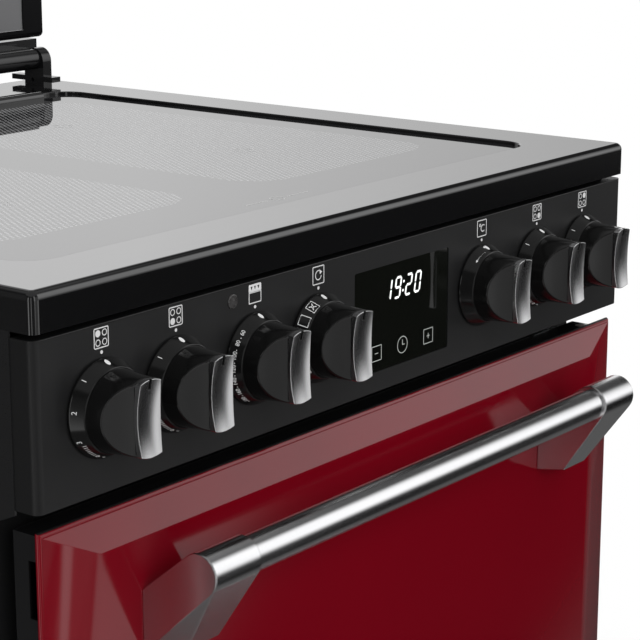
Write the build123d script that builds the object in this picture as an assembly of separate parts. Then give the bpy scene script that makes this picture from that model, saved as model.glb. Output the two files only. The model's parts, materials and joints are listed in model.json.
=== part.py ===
from build123d import *
import math
import os

# Free-standing induction cooker with two ovens and a fold-down lid.
# Millimetres. X runs to the right, Y to the back, Z up. While the pieces are made, Y is
# counted from the front edge of the hob and Z from the floor. At the end everything is
# moved along Y, so that the origin is the middle of the footprint.

# Whole cooker
WIDTH = 600.0
DEPTH = 600.0
HOB_TOP = 900.0
SHEET = 1.5
RUNNING_GAP = 0.05
SEAT_GAP = 0.3

# Levelling feet and base
FOOT_PAD_R = 18.0
FOOT_PAD_H = 8.0
FOOT_STEM_R = 4.0
FOOT_STEM_TOP = 34.0
FOOT_NUT_R = 9.0
FOOT_NUT_H = 5.0
FOOT_SIDE_INSET = 36.0
FOOT_FRONT_Y = 75.0
FOOT_REAR_INSET = 45.0
BASE_Z = 22.0
BASE_LIP_H = 14.0

# Casing
FRAME_Y = 44.0
CHEEK_Y = 18.0
CHEEK_Z = 777.5
CHEEK_FOOT_Z = 766.0
SIDE_FLANGE = 11.0
PLINTH_Y = 20.0
PLINTH_TOP = 84.0
PLINTH_BOTTOM = 24.0
VENT_COUNT = 9
VENT_PITCH = 46.0
VENT_L = 30.0
VENT_H = 4.0
VENT_ROWS_Z = (640.0, 655.0, 670.0, 685.0)
CABLE_HOLE_R = 14.0
CABLE_X = 205.0
CABLE_Z = 480.0
WALL_HOLE_R = 3.0
WALL_HOLE_SPACING = 500.0
WALL_HOLE_Z = 850.0

# Hob
HOB_RIM_H = 22.6
HOB_EDGE_R = 4.8
HOB_CORNER_R = 5.0
HOB_LIP_R = 1.2
HOB_SKIN = 2.0
WELL_SIDE = 46.5
WELL_FRONT = 50.0
WELL_REAR = 79.0
WELL_R = 22.0
WELL_DEPTH = 2.5
GLASS_T = 4.0
GLASS_GAP = 0.2
LEDGE_W = 9.0
LEDGE_T = 1.5
COIL_TRAY_DROP = 12.0
COIL_R = 88.0
COIL_CORE_R = 22.0
COIL_T = 5.0
COIL_SIDE_INSET = 141.5
COIL_FRONT_INSET = 148.0
COIL_REAR_INSET = 137.0
BOARD_L = 300.0
BOARD_W = 120.0
BOARD_H = 8.0
BOARD_FINS = 13
BOARD_FIN_PITCH = 15.0
TRIM_END_GAP = 45.5
TRIM_REAR_GAP = 8.0
TRIM_W = 13.0
TRIM_RISE = 5.0
TRIM_R = 4.5

# Control fascia
FASCIA_Y = 1.3
FASCIA_SIDE_GAP = 0.5
FASCIA_TOP_DROP = 26.1
FASCIA_BOTTOM_DROP = 119.7
FASCIA_DEPTH = 16.7
FASCIA_R = 5.0
WINDOW_X = 25.3
WINDOW_DROP = 73.5
WINDOW_W = 102.0
WINDOW_H = 67.0
WINDOW_T = 3.0
WINDOW_SINK = 0.6
TIMER_DEPTH = 16.0
TIMER_EAR = 9.0
LAMP_X = -141.5
LAMP_DROP = 34.8
LAMP_R = 4.25
LAMP_FLANGE_R = 6.5
LAMP_FLANGE_T = 2.0
LAMP_PROUD = 0.7
LAMP_BODY_L = 14.0
LAMP_BODY_R = 4.0

# Knobs, counted from the left
KNOB_X = (-249.0, -190.0, -121.5, -62.0, 115.0, 184.0, 244.5)
KNOB_DROP = 72.2
KNOB_BACK_GAP = 0.5
SKIRT_R = 27.7
SKIRT_EDGE = 1.2
SKIRT_FRONT_R = 23.6
SKIRT_D = 9.0
BODY_R = 22.8
BODY_FRONT_R = 21.4
GRIP_BASE_D = 30.2
GRIP_FRONT_D = 35.1
GRIP_W = 18.0
GRIP_HOLLOW = 1.8
SCOOP_OUT = 22.2
SCOOP_OUT_D = 19.0
SCOOP_IN = 8.6
NOTCH_W = 1.3
NOTCH_L = 4.0
NOTCH_D = 1.2
KNOB_CUP_R = 19.0
KNOB_CUP_D = 6.0
KNOB_HUB_R = 8.0
SPINDLE_R = 3.0
SPINDLE_IN = 13.0
SPINDLE_HOLE_R = 6.0
SWITCH_SIZE = 32.0
SWITCH_NOSE_R = 10.0
SWITCH_NOSE_L = 4.0
SWITCH_L = 20.0
SWITCH_BORE_L = 14.0

# Ovens
CAVITY_W = 410.0
CAVITY_R = 14.0
TOP_CAVITY_Z = (540.0, 720.0)
MAIN_CAVITY_Z = (135.0, 430.0)
TOP_CAVITY_D = 380.0
MAIN_CAVITY_D = 430.0
LINER_LIP = 14.0
SEAL_W = 6.0
SEAL_REACH = 8.0
RUNNER_W = 12.0
RUNNER_H = 4.0
RUNNER_INSET_Y = 22.0
TOP_SHELF_Z = 592.0
MAIN_SHELF_Z = (245.0, 335.0)
SHELF_FRAME_R = 3.0
SHELF_BAR_R = 1.8
SHELF_BARS = 13
SHELF_SIDE_GAP = 7.0
SHELF_D = 330.0
SHELF_FRONT_GAP = 18.0
ELEMENT_R = 3.5
GRILL_DROP = 18.0
GRILL_RUNS = 6
GRILL_PITCH = 52.0
GRILL_FRONT = 40.0
GRILL_L = 290.0
FAN_X = 0.0
FAN_R = 75.0
FAN_HUB_R = 14.0
FAN_BLADES = 10
FAN_BLADE_H = 24.0
FAN_BLADE_T = 1.5
FAN_DISC_T = 1.5
FAN_RING_R = 96.0
FAN_RING_D = 20.0
FAN_COVER_GAP = 42.0
FAN_SHAFT_R = 4.0
FAN_MOTOR_R = 32.0
FAN_MOTOR_L = 38.0
COVER_SIDE = 24.0
COVER_SLOTS = 16
COVER_SLOT_L = 26.0
COVER_SLOT_W = 6.0
COVER_SLOT_R = 46.0
OVEN_LAMP_X = 150.0
OVEN_LAMP_DROP = 55.0
OVEN_LAMP_R = 22.0
OVEN_LAMP_T = 10.0

# Doors, hung on their right-hand side
DOOR_GAP = 4.0
TOP_DOOR_Z = (479.0, 768.7)
MAIN_DOOR_Z = (90.0, 473.0)
DOOR_EDGE_Y = 4.7
DOOR_EDGE_R = 3.0
DOOR_BACK_Y = 8.0
DOOR_FACE_Y = -2.0
BEVEL_SIDE = 36.0
BEVEL_END = 17.2
PAN_LEFT_INSET = 3.0
PAN_RIGHT_INSET = 16.5
PAN_END_INSET = 2.7
PAN_BACK_Y = 29.0
PAN_R = 2.5
PLUG_SIDE_REACH = 33.0
PLUG_BACK_Y = 40.0
PLUG_END_REACH = 20.0
PLUG_R = 16.0
DOOR_SLOT_DROP = 17.5
DOOR_SLOT_H = 33.0
DOOR_SLOT_Y = (10.3, 16.3)
HINGE_INSET = 24.0
HINGE_Y = 15.5
HINGE_ROOT_IN = 12.0
HINGE_FOOT_HALF = 10.0
HINGE_FOOT_T = 2.0
HINGE_FOOT_H = 26.0
HINGE_ARM_W = 9.0
HINGE_ARM_T = 6.0
HINGE_EYE_R = 6.0
HINGE_PIN_R = 3.0
HINGE_PIN_HEAD_R = 3.9
HINGE_SPARE = 1.0
HINGE_BLOCK_IN = 18.0
HINGE_BLOCK_T = 14.0

# Door handles
HANDLE_DROP = 33.0
HANDLE_OUT = 43.5
HANDLE_R = 11.0
COLLAR_R = 12.8
HANDLE_SPAN = 451.0
HANDLE_END_W = 38.5
FOOT_TOP_DROP = 17.6
FOOT_BOTTOM_DROP = 55.5
CHIN_Y = -24.5
CHIN_DROP = 51.5
CHAMFER_IN = 11.0

# Lid and its hinge, with the lid raised
PIVOT_INSET = 34.0
PIVOT_RISE = 22.7
TUBE_R = 8.85
LID_PIN_R = 4.0
BRACKET_INSET = 33.0
BRACKET_W = 10.0
BRACKET_HALF = 11.5
BRACKET_TOP = 32.5
BRACKET_TOE = 22.0
BRACKET_HEEL = 27.5
BRACKET_ARM_RISE = 3.5
BRACKET_ARM_H = 4.5
BRACKET_EYE_BACK = 2.0
BRACKET_EYE_RISE = 4.5
BRACKET_EYE_R = 1.8
LID_BEHIND_PIVOT = 22.0
LID_T = 18.0
LID_SIDE_GAP = 1.5
LID_BOTTOM = 37.8
LID_TOP = 583.0
LID_EDGE_R = 4.5
LID_BORDER = 26.0
LID_FOOT_BORDER = 7.8
LID_GLASS_T = 4.0
LID_GLASS_LAP = 6.0
RAIL_BOTTOM = 29.6
RAIL_FORWARD = 6.0
RAIL_END_INSET = 18.0
RAIL_BACK_INSET = 3.0
WEB_INSET = 3.0

# Worked out from the sizes above
HALF_W = WIDTH / 2
FASCIA_TOP = HOB_TOP - FASCIA_TOP_DROP
FASCIA_BOTTOM = HOB_TOP - FASCIA_BOTTOM_DROP
FASCIA_HALF = HALF_W - FASCIA_SIDE_GAP
FASCIA_IN_Y = FASCIA_Y + SHEET
KNOB_Z = HOB_TOP - KNOB_DROP
KNOB_BACK_Y = FASCIA_Y - KNOB_BACK_GAP
RIM_BOTTOM = HOB_TOP - HOB_RIM_H
INNER_HALF = HALF_W - SHEET
FRAME_BACK_Y = FRAME_Y + SHEET
BACK_Y = DEPTH - SHEET
DOOR_HALF = HALF_W - DOOR_GAP
WELL_HALF = HALF_W - WELL_SIDE
WELL_BACK = DEPTH - WELL_REAR
COIL_X = WELL_HALF - COIL_SIDE_INSET
COIL_FRONT_Y = WELL_FRONT + COIL_FRONT_INSET
COIL_REAR_Y = WELL_BACK - COIL_REAR_INSET
TRIM_HALF = WELL_HALF - TRIM_END_GAP
TRIM_BACK = WELL_BACK - TRIM_REAR_GAP
SHELF_W = CAVITY_W - 2 * SHELF_SIDE_GAP
PAN_LEFT = PAN_LEFT_INSET - DOOR_HALF
PAN_RIGHT = DOOR_HALF - PAN_RIGHT_INSET
PLUG_HALF = CAVITY_W / 2 + PLUG_SIDE_REACH
HINGE_X = DOOR_HALF - HINGE_INSET
HINGE_ROOT_X = HINGE_X - HINGE_ROOT_IN
HINGE_BLOCK_X = HINGE_X - HINGE_BLOCK_IN
PIVOT_Y = DEPTH - PIVOT_INSET
PIVOT_Z = HOB_TOP + PIVOT_RISE
BRACKET_X = HALF_W - BRACKET_INSET
LID_Y = PIVOT_Y + LID_BEHIND_PIVOT
RAIL_FRONT_Y = LID_Y - RAIL_FORWARD
RAIL_HALF = HALF_W - RAIL_END_INSET
HANDLE_FRONT_Y = -(HANDLE_OUT + COLLAR_R)
LID_BACK_Y = LID_Y + LID_T
MIDDLE_Y = (HANDLE_FRONT_Y + LID_BACK_Y) / 2
MAIN_BACK_Y = FRAME_BACK_Y + MAIN_CAVITY_D
FAN_Z = (MAIN_CAVITY_Z[0] + MAIN_CAVITY_Z[1]) / 2


# Shapes used by several pieces

def block(x, y, z):
    """A box from three (low, high) pairs."""
    size = (x[1] - x[0], y[1] - y[0], z[1] - z[0])
    centre = ((x[0] + x[1]) / 2, (y[0] + y[1]) / 2, (z[0] + z[1]) / 2)
    return Pos(*centre) * Box(*size)


def even(half):
    """The pair that lies evenly about zero."""
    return (-half, half)


def rod_y(radius, x, z, y):
    """A round bar along Y."""
    return Pos(x, (y[0] + y[1]) / 2, z) * Rot(90, 0, 0) * Cylinder(radius, y[1] - y[0])


def rod_x(radius, y, z, x):
    """A round bar along X."""
    return Pos((x[0] + x[1]) / 2, y, z) * Rot(0, 90, 0) * Cylinder(radius, x[1] - x[0])


def rod_z(radius, x, y, z):
    """A round bar along Z."""
    return Pos(x, y, (z[0] + z[1]) / 2) * Cylinder(radius, z[1] - z[0])


def upright(y):
    """A plane facing the front at depth y, with its own axes along X and Z."""
    return Plane(origin=(0, y, 0), x_dir=(1, 0, 0), z_dir=(0, -1, 0))


def rounded_front(half, z, y, radius):
    """A bar through Y whose face is a rectangle with round corners."""
    face = Pos(0, (z[0] + z[1]) / 2) * RectangleRounded(2 * half, z[1] - z[0], radius)
    return extrude(upright(y[1]) * face, y[1] - y[0])


def rounded_plan(half, y, z, radius):
    """A slab whose plan is a rectangle with round corners."""
    face = Pos(0, (y[0] + y[1]) / 2) * RectangleRounded(2 * half, y[1] - y[0], radius)
    return extrude(Plane.XY.offset(z[0]) * face, z[1] - z[0])


def side_profile(outline, x):
    """An outline of (y, z) points, drawn out along X."""
    face = Plane.YZ * make_face(Polyline(*outline, close=True))
    return extrude(Pos(x[0], 0, 0) * face, x[1] - x[0])


def both_sides(solid):
    """A piece and its mirror image across the middle of the cooker."""
    return Compound([solid, mirror(solid, about=Plane.YZ)])


# Casing and frame

def foot_places():
    x = HALF_W - FOOT_SIDE_INSET
    rear = DEPTH - FOOT_REAR_INSET
    return [(-x, FOOT_FRONT_Y), (x, FOOT_FRONT_Y), (-x, rear), (x, rear)]


def levelling_feet():
    feet = []
    for x, y in foot_places():
        pad = rod_z(FOOT_PAD_R, x, y, (0, FOOT_PAD_H))
        pad = fillet(pad.edges().group_by(Axis.Z)[-1], 2.0)
        stem = rod_z(FOOT_STEM_R, x, y, (FOOT_PAD_H, FOOT_STEM_TOP))
        nut = Pos(x, y, BASE_Z - FOOT_NUT_H) * extrude(RegularPolygon(FOOT_NUT_R, 6), FOOT_NUT_H)
        feet.append(pad + stem + nut)
    return Compound(feet)


def base_tray():
    outer = block(even(INNER_HALF), (FRAME_BACK_Y, BACK_Y), (BASE_Z, BASE_Z + BASE_LIP_H))
    inner = block(even(INNER_HALF - SHEET), (FRAME_BACK_Y + SHEET, BACK_Y - SHEET),
                  (BASE_Z + SHEET, BASE_Z + BASE_LIP_H))
    tray = outer - inner
    for x, y in foot_places():
        tray -= rod_z(FOOT_STEM_R + SEAT_GAP, x, y, (BASE_Z, BASE_Z + SHEET))
    return tray


def side_panel():
    outline = [
        (CHEEK_Y, RIM_BOTTOM),
        (CHEEK_Y, CHEEK_Z),
        (FRAME_Y, CHEEK_FOOT_Z),
        (FRAME_Y, BASE_Z),
        (DEPTH, BASE_Z),
        (DEPTH, RIM_BOTTOM),
    ]
    skin = side_profile(outline, (INNER_HALF, HALF_W))
    flange = block((HALF_W - SIDE_FLANGE, INNER_HALF), (FRAME_Y, FRAME_BACK_Y), (BASE_Z, CHEEK_FOOT_Z))
    return skin + flange


def front_frame():
    half = HALF_W - SIDE_FLANGE
    plate = block(even(half), (FRAME_Y, FRAME_BACK_Y), (PLINTH_BOTTOM, FASCIA_TOP))
    for z in (TOP_CAVITY_Z, MAIN_CAVITY_Z):
        plate -= rounded_front(CAVITY_W / 2, z, (FRAME_Y, FRAME_BACK_Y), CAVITY_R)
    return plate


def plinth():
    half = HALF_W - SIDE_FLANGE
    face = block(even(half), (PLINTH_Y, PLINTH_Y + SHEET), (PLINTH_BOTTOM, PLINTH_TOP))
    top = block(even(half), (PLINTH_Y + SHEET, FRAME_Y), (PLINTH_TOP - SHEET, PLINTH_TOP))
    ends = block((half - SHEET, half), (PLINTH_Y + SHEET, FRAME_Y), (PLINTH_BOTTOM, PLINTH_TOP - SHEET))
    return face + top + ends + mirror(ends, about=Plane.YZ)


def back_panel():
    panel = block(even(INNER_HALF), (BACK_Y, DEPTH), (BASE_Z, RIM_BOTTOM))
    first = -VENT_PITCH * (VENT_COUNT - 1) / 2
    for z in VENT_ROWS_Z:
        for i in range(VENT_COUNT):
            x = first + i * VENT_PITCH
            slot = Pos(x, z) * SlotOverall(VENT_L, VENT_H)
            panel -= extrude(upright(DEPTH) * slot, SHEET)
    panel -= rod_y(CABLE_HOLE_R, CABLE_X, CABLE_Z, (BACK_Y, DEPTH))
    for side in (-1, 1):
        panel -= rod_y(WALL_HOLE_R, side * WALL_HOLE_SPACING / 2, WALL_HOLE_Z, (BACK_Y, DEPTH))
    return panel


def terminal_block():
    body = block((CABLE_X - 30, CABLE_X + 30), (BACK_Y - 26, BACK_Y), (CABLE_Z + 22, CABLE_Z + 62))
    for i in range(3):
        x = CABLE_X - 18 + 18 * i
        body -= block((x - 5, x + 5), (BACK_Y - 26, BACK_Y - 12), (CABLE_Z + 22, CABLE_Z + 34))
    return body


# Hob

def well(inset, z):
    """The hob's glass well, drawn in by inset, between two heights."""
    return rounded_plan(WELL_HALF - inset, (WELL_FRONT + inset, WELL_BACK - inset),
                        z, WELL_R - inset)


def hob_surround():
    outer = rounded_plan(HALF_W, (0, DEPTH), (RIM_BOTTOM, HOB_TOP), HOB_CORNER_R)
    outer = fillet(outer.edges().group_by(Axis.Z)[-1], HOB_EDGE_R)
    under = rounded_plan(INNER_HALF, (SHEET, DEPTH - SHEET), (RIM_BOTTOM, HOB_TOP - HOB_SKIN), HOB_CORNER_R - SHEET)
    under = fillet(under.edges().group_by(Axis.Z)[-1], HOB_EDGE_R - HOB_SKIN)
    glass_z = HOB_TOP - WELL_DEPTH - GLASS_T
    frame = outer - under + well(-SHEET, (glass_z - LEDGE_T, HOB_TOP - HOB_SKIN / 2))
    frame -= well(0, (glass_z, HOB_TOP))
    frame -= well(LEDGE_W, (glass_z - LEDGE_T, glass_z))
    lip = [e for e in frame.edges().group_by(Axis.Z)[-1]
           if abs(e.center().X) < WELL_HALF + 1 and WELL_FRONT - 1 < e.center().Y < WELL_BACK + 1]
    return fillet(lip, HOB_LIP_R)


def hob_rear_trim():
    """A raised bar along the back of the glass, between the well's two rear corners."""
    y = (TRIM_BACK - TRIM_W, TRIM_BACK)
    bar = block(even(TRIM_HALF), y, (HOB_TOP - WELL_DEPTH, HOB_TOP + TRIM_RISE))
    top = [e for e in bar.edges().group_by(Axis.Z)[-1] if abs(e.center().X) < 1]
    return fillet(top, TRIM_R)


def hob_glass():
    top = HOB_TOP - WELL_DEPTH
    glass = well(GLASS_GAP, (top - GLASS_T, top))
    return glass


def hob_coil_tray():
    glass_z = HOB_TOP - WELL_DEPTH - GLASS_T - LEDGE_T
    z = (glass_z - COIL_TRAY_DROP, glass_z)
    outer = well(LEDGE_W - SHEET, z)
    inner = well(LEDGE_W, (z[0] + SHEET, z[1]))
    return outer - inner


def induction_coils():
    tray = HOB_TOP - WELL_DEPTH - GLASS_T - LEDGE_T - COIL_TRAY_DROP + SHEET
    coils = []
    for x in (-COIL_X, COIL_X):
        for y in (COIL_FRONT_Y, COIL_REAR_Y):
            ring = rod_z(COIL_R, x, y, (tray, tray + COIL_T)) - rod_z(COIL_CORE_R, x, y, (tray, tray + COIL_T))
            coils.append(ring)
    return Compound(coils)


def hob_power_board():
    top = HOB_TOP - WELL_DEPTH - GLASS_T - LEDGE_T - COIL_TRAY_DROP
    y = DEPTH / 2
    board = block(even(BOARD_L / 2), (y - BOARD_W / 2, y + BOARD_W / 2), (top - BOARD_H, top))
    first = -BOARD_FIN_PITCH * (BOARD_FINS - 1) / 2
    for i in range(BOARD_FINS):
        x = first + BOARD_FIN_PITCH * i
        board += block((x - 1.5, x + 1.5), (y - 40, y + 40), (top - BOARD_H - 12, top - BOARD_H))
    return board


# Control fascia

def control_fascia():
    z = (FASCIA_BOTTOM, FASCIA_TOP)
    back = FASCIA_Y + FASCIA_DEPTH
    outer = rounded_plan(FASCIA_HALF, (FASCIA_Y, back + 2 * FASCIA_R), z, FASCIA_R)
    inner = rounded_plan(FASCIA_HALF - SHEET, (FASCIA_IN_Y, back + 3 * FASCIA_R), (z[0] + SHEET, z[1] - SHEET),
                         FASCIA_R - SHEET)
    shell = outer - inner - block(even(HALF_W), (back, back + 4 * FASCIA_R), (z[0] - 1, z[1] + 1))
    shell += block(even(HALF_W - SIDE_FLANGE), (back, FRAME_Y), (FASCIA_TOP - SHEET, FASCIA_TOP))
    for x in KNOB_X:
        shell -= rod_y(SPINDLE_HOLE_R, x, KNOB_Z, (FASCIA_Y - 1, FASCIA_IN_Y + 1))
    shell -= rod_y(LAMP_R + GLASS_GAP, LAMP_X, HOB_TOP - LAMP_DROP, (FASCIA_Y - 1, FASCIA_IN_Y + 1))
    window = rounded_front(WINDOW_W / 2, (HOB_TOP - WINDOW_DROP - WINDOW_H / 2, HOB_TOP - WINDOW_DROP + WINDOW_H / 2),
                           (FASCIA_Y - 1, FASCIA_IN_Y + 1), 1.5)
    shell -= Pos(WINDOW_X, 0, 0) * window
    return shell


def display_window():
    z = HOB_TOP - WINDOW_DROP
    half_h = WINDOW_H / 2 - GLASS_GAP
    front = FASCIA_Y + WINDOW_SINK
    pane = rounded_front(WINDOW_W / 2 - GLASS_GAP, (z - half_h, z + half_h), (front, front + WINDOW_T), 1.3)
    return Pos(WINDOW_X, 0, 0) * pane


def timer_board():
    z = HOB_TOP - WINDOW_DROP
    front = FASCIA_Y + WINDOW_SINK + WINDOW_T
    half_h = WINDOW_H / 2 - 3
    case = block((WINDOW_X - WINDOW_W / 2, WINDOW_X + WINDOW_W / 2), (front, front + TIMER_DEPTH),
                 (z - half_h, z + half_h))
    half = WINDOW_W / 2 + TIMER_EAR
    ears = block((WINDOW_X - half, WINDOW_X + half), (FASCIA_IN_Y, front + SHEET), (z - 10, z + 10))
    hollow = block((WINDOW_X - WINDOW_W / 2, WINDOW_X + WINDOW_W / 2), (FASCIA_IN_Y, front), (z - 10, z + 10))
    return case + (ears - hollow)


def indicator_lamp():
    z = HOB_TOP - LAMP_DROP
    lens = rod_y(LAMP_R, LAMP_X, z, (FASCIA_Y - LAMP_PROUD, FASCIA_IN_Y))
    lens = fillet(lens.edges().group_by(Axis.Y)[0], LAMP_PROUD * 0.9)
    flange = rod_y(LAMP_FLANGE_R, LAMP_X, z, (FASCIA_IN_Y, FASCIA_IN_Y + LAMP_FLANGE_T))
    body = rod_y(LAMP_BODY_R, LAMP_X, z, (FASCIA_IN_Y + LAMP_FLANGE_T, FASCIA_IN_Y + LAMP_BODY_L))
    return lens + flange + body


def rotary_switches():
    half = SWITCH_SIZE / 2
    nose_end = FASCIA_IN_Y + SWITCH_NOSE_L
    switches = []
    for x in KNOB_X:
        nose = rod_y(SWITCH_NOSE_R, x, KNOB_Z, (FASCIA_IN_Y, nose_end))
        case = block((x - half, x + half), (nose_end, nose_end + SWITCH_L), (KNOB_Z - half, KNOB_Z + half))
        bore = rod_y(SPINDLE_R + RUNNING_GAP, x, KNOB_Z, (FASCIA_IN_Y, FASCIA_IN_Y + SWITCH_BORE_L))
        switches.append(nose + case - bore)
    return Compound(switches)


# Knobs

def knob_body():
    """The moulded knob about the Y axis, with its front towards the user."""
    front = KNOB_BACK_Y - GRIP_BASE_D
    outline = [
        (0, KNOB_BACK_Y),
        (SKIRT_R, KNOB_BACK_Y),
        (SKIRT_R, KNOB_BACK_Y - SKIRT_EDGE),
        (SKIRT_FRONT_R, KNOB_BACK_Y - SKIRT_D),
        (BODY_R, KNOB_BACK_Y - SKIRT_D),
        (BODY_FRONT_R, front),
        (0, front),
    ]
    body = revolve(make_face(Polyline(*outline, close=True)), axis=Axis.Y)
    tall = 2 * SKIRT_R
    slope = (GRIP_BASE_D - SCOOP_OUT_D) / (SCOOP_OUT - SCOOP_IN)
    reach = SCOOP_OUT + 8
    scoop = Polyline((SCOOP_IN, front), (SCOOP_IN, front - 5), (reach, front - 5),
                     (reach, front + slope * (reach - SCOOP_IN)), close=True)
    cut = extrude(Plane.XY.offset(-tall / 2) * make_face(scoop), tall)
    body = body - cut - mirror(cut, about=Plane.YZ)
    cup = rod_y(KNOB_CUP_R, 0, 0, (KNOB_BACK_Y - KNOB_CUP_D, KNOB_BACK_Y))
    hub = rod_y(KNOB_HUB_R, 0, 0, (KNOB_BACK_Y - KNOB_CUP_D, KNOB_BACK_Y))
    bore = rod_y(SPINDLE_R + RUNNING_GAP, 0, 0, (front, KNOB_BACK_Y))
    return body - (cup - hub) - bore


def knob_grip():
    """The chromed grip about the Y axis, with the stem that turns the switch."""
    base = KNOB_BACK_Y - GRIP_BASE_D
    front = KNOB_BACK_Y - GRIP_FRONT_D
    fin = rod_y(BODY_FRONT_R, 0, 0, (front, base))
    fin = fin & block(even(GRIP_W / 2), (front, base), even(BODY_FRONT_R))
    curve = (BODY_FRONT_R ** 2 + GRIP_HOLLOW ** 2) / (2 * GRIP_HOLLOW)
    fin -= rod_x(curve, front + GRIP_HOLLOW - curve, 0, even(GRIP_W))
    fin -= block(even(NOTCH_W / 2), (front, front + NOTCH_D), (BODY_FRONT_R - NOTCH_L, BODY_FRONT_R))
    stem = rod_y(SPINDLE_R, 0, 0, (base, FASCIA_IN_Y + SPINDLE_IN))
    return fin + stem


# Ovens

def liner(z, depth):
    """An enamelled oven liner, open at the front, with a lip that meets the front frame."""
    half = CAVITY_W / 2
    y = (FRAME_BACK_Y, FRAME_BACK_Y + depth)
    outer = rounded_front(half + SHEET, (z[0] - SHEET, z[1] + SHEET), (y[0], y[1] + SHEET), CAVITY_R + SHEET)
    inner = rounded_front(half, z, y, CAVITY_R)
    lip = rounded_front(half + LINER_LIP, (z[0] - LINER_LIP, z[1] + LINER_LIP), (y[0], y[0] + SHEET),
                        CAVITY_R + LINER_LIP)
    return outer + lip - inner


def top_oven_liner():
    return liner(TOP_CAVITY_Z, TOP_CAVITY_D)


def main_oven_liner():
    shell = liner(MAIN_CAVITY_Z, MAIN_CAVITY_D)
    shell -= rod_y(FAN_SHAFT_R + 2, FAN_X, FAN_Z, (MAIN_BACK_Y - 1, MAIN_BACK_Y + SHEET + 1))
    return shell


def oven_door_seals():
    rings = []
    y = (PLUG_BACK_Y + SEAT_GAP, FRAME_Y)
    for z in (TOP_CAVITY_Z, MAIN_CAVITY_Z):
        half = CAVITY_W / 2 + SEAL_REACH
        low = (z[0] - SEAL_REACH, z[1] + SEAL_REACH)
        outer = rounded_front(half + SEAL_W, (low[0] - SEAL_W, low[1] + SEAL_W), y, CAVITY_R + SEAL_REACH)
        inner = rounded_front(half, low, y, CAVITY_R + SEAL_REACH - SEAL_W)
        rings.append(outer - inner)
    return Compound(rings)


def runner(z, depth):
    y = (FRAME_BACK_Y + RUNNER_INSET_Y, FRAME_BACK_Y + depth - RUNNER_INSET_Y)
    return block((CAVITY_W / 2 - RUNNER_W, CAVITY_W / 2), y, (z - RUNNER_H, z))


def shelf_runners():
    rails = []
    for z in [TOP_SHELF_Z]:
        rails.append(runner(z, TOP_CAVITY_D))
    for z in MAIN_SHELF_Z:
        rails.append(runner(z, MAIN_CAVITY_D))
    mirrored = [mirror(rail, about=Plane.YZ) for rail in rails]
    return Compound(rails + mirrored)


def wire_shelf(z):
    """A wire shelf that lies on its runners at height z."""
    r = SHELF_FRAME_R
    half = SHELF_W / 2
    y0 = FRAME_BACK_Y + SHELF_FRONT_GAP
    y1 = y0 + SHELF_D
    mid = z + r
    shelf = rod_x(r, y0 + r, mid, even(half)) + rod_x(r, y1 - r, mid, even(half))
    shelf += rod_y(r, half - r, mid, (y0, y1)) + rod_y(r, r - half, mid, (y0, y1))
    pitch = (SHELF_W - 4 * r) / (SHELF_BARS + 1)
    for i in range(SHELF_BARS):
        x = -half + 2 * r + pitch * (i + 1)
        shelf += rod_y(SHELF_BAR_R, x, mid, (y0 + r, y1 - r))
    return shelf


def top_oven_shelf():
    return wire_shelf(TOP_SHELF_Z)


def main_oven_shelf():
    return wire_shelf(MAIN_SHELF_Z[0])


def grill_element():
    """A rod that runs to and fro under the roof of the top oven and ends in its back wall."""
    z = TOP_CAVITY_Z[1] - GRILL_DROP
    y0 = FRAME_BACK_Y + GRILL_FRONT
    y1 = y0 + GRILL_L
    wall = FRAME_BACK_Y + TOP_CAVITY_D
    first = -GRILL_PITCH * (GRILL_RUNS - 1) / 2
    points = [(first, wall, z)]
    for i in range(GRILL_RUNS):
        x = first + i * GRILL_PITCH
        near, far = (y0, y1) if i % 2 == 0 else (y1, y0)
        if i > 0:
            points.append((x, far if i % 2 == 0 else y0, z))
        points.append((x, y0 if i % 2 == 0 else y1, z))
    points = points[:-1] + [(first + (GRILL_RUNS - 1) * GRILL_PITCH, wall, z)]
    path = FilletPolyline(*points, radius=GRILL_PITCH * 0.45)
    face = Plane(origin=path @ 0, z_dir=path % 0) * Circle(ELEMENT_R)
    return sweep(face, path=path)


def fan_element():
    y = MAIN_BACK_Y - FAN_RING_D
    ring = Pos(FAN_X, y, FAN_Z) * Rot(90, 0, 0) * Torus(FAN_RING_R, ELEMENT_R)
    top = FAN_Z + FAN_RING_R
    return ring + block((FAN_X - 14, FAN_X + 14), (y, MAIN_BACK_Y), (top - 2, top + 2))


def fan_cover():
    """The plate in front of the fan, with an inlet of slots and a rim that meets the back wall."""
    half = CAVITY_W / 2 - COVER_SIDE
    z = (MAIN_CAVITY_Z[0] + COVER_SIDE, MAIN_CAVITY_Z[1] - COVER_SIDE)
    y = (MAIN_BACK_Y - FAN_COVER_GAP, MAIN_BACK_Y)
    cover = rounded_front(half, z, y, 20) - rounded_front(half - SHEET, (z[0] + SHEET, z[1] - SHEET),
                                                          (y[0] + SHEET, y[1]), 20 - SHEET)
    for i in range(COVER_SLOTS):
        spoke = Rot(0, 0, 360 / COVER_SLOTS * i) * Pos(COVER_SLOT_R, 0) * SlotOverall(COVER_SLOT_L, COVER_SLOT_W)
        cut = extrude(upright(y[0] + 2 * SHEET) * (Pos(FAN_X, FAN_Z) * spoke), 3 * SHEET)
        cover -= cut
    window = 26.0
    for side in (-1, 1):
        cover -= block((side * half - 3, side * half + 3), (y[0] + 8, y[1] - 6), (FAN_Z - 3 * window, FAN_Z + 3 * window))
    return cover


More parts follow.
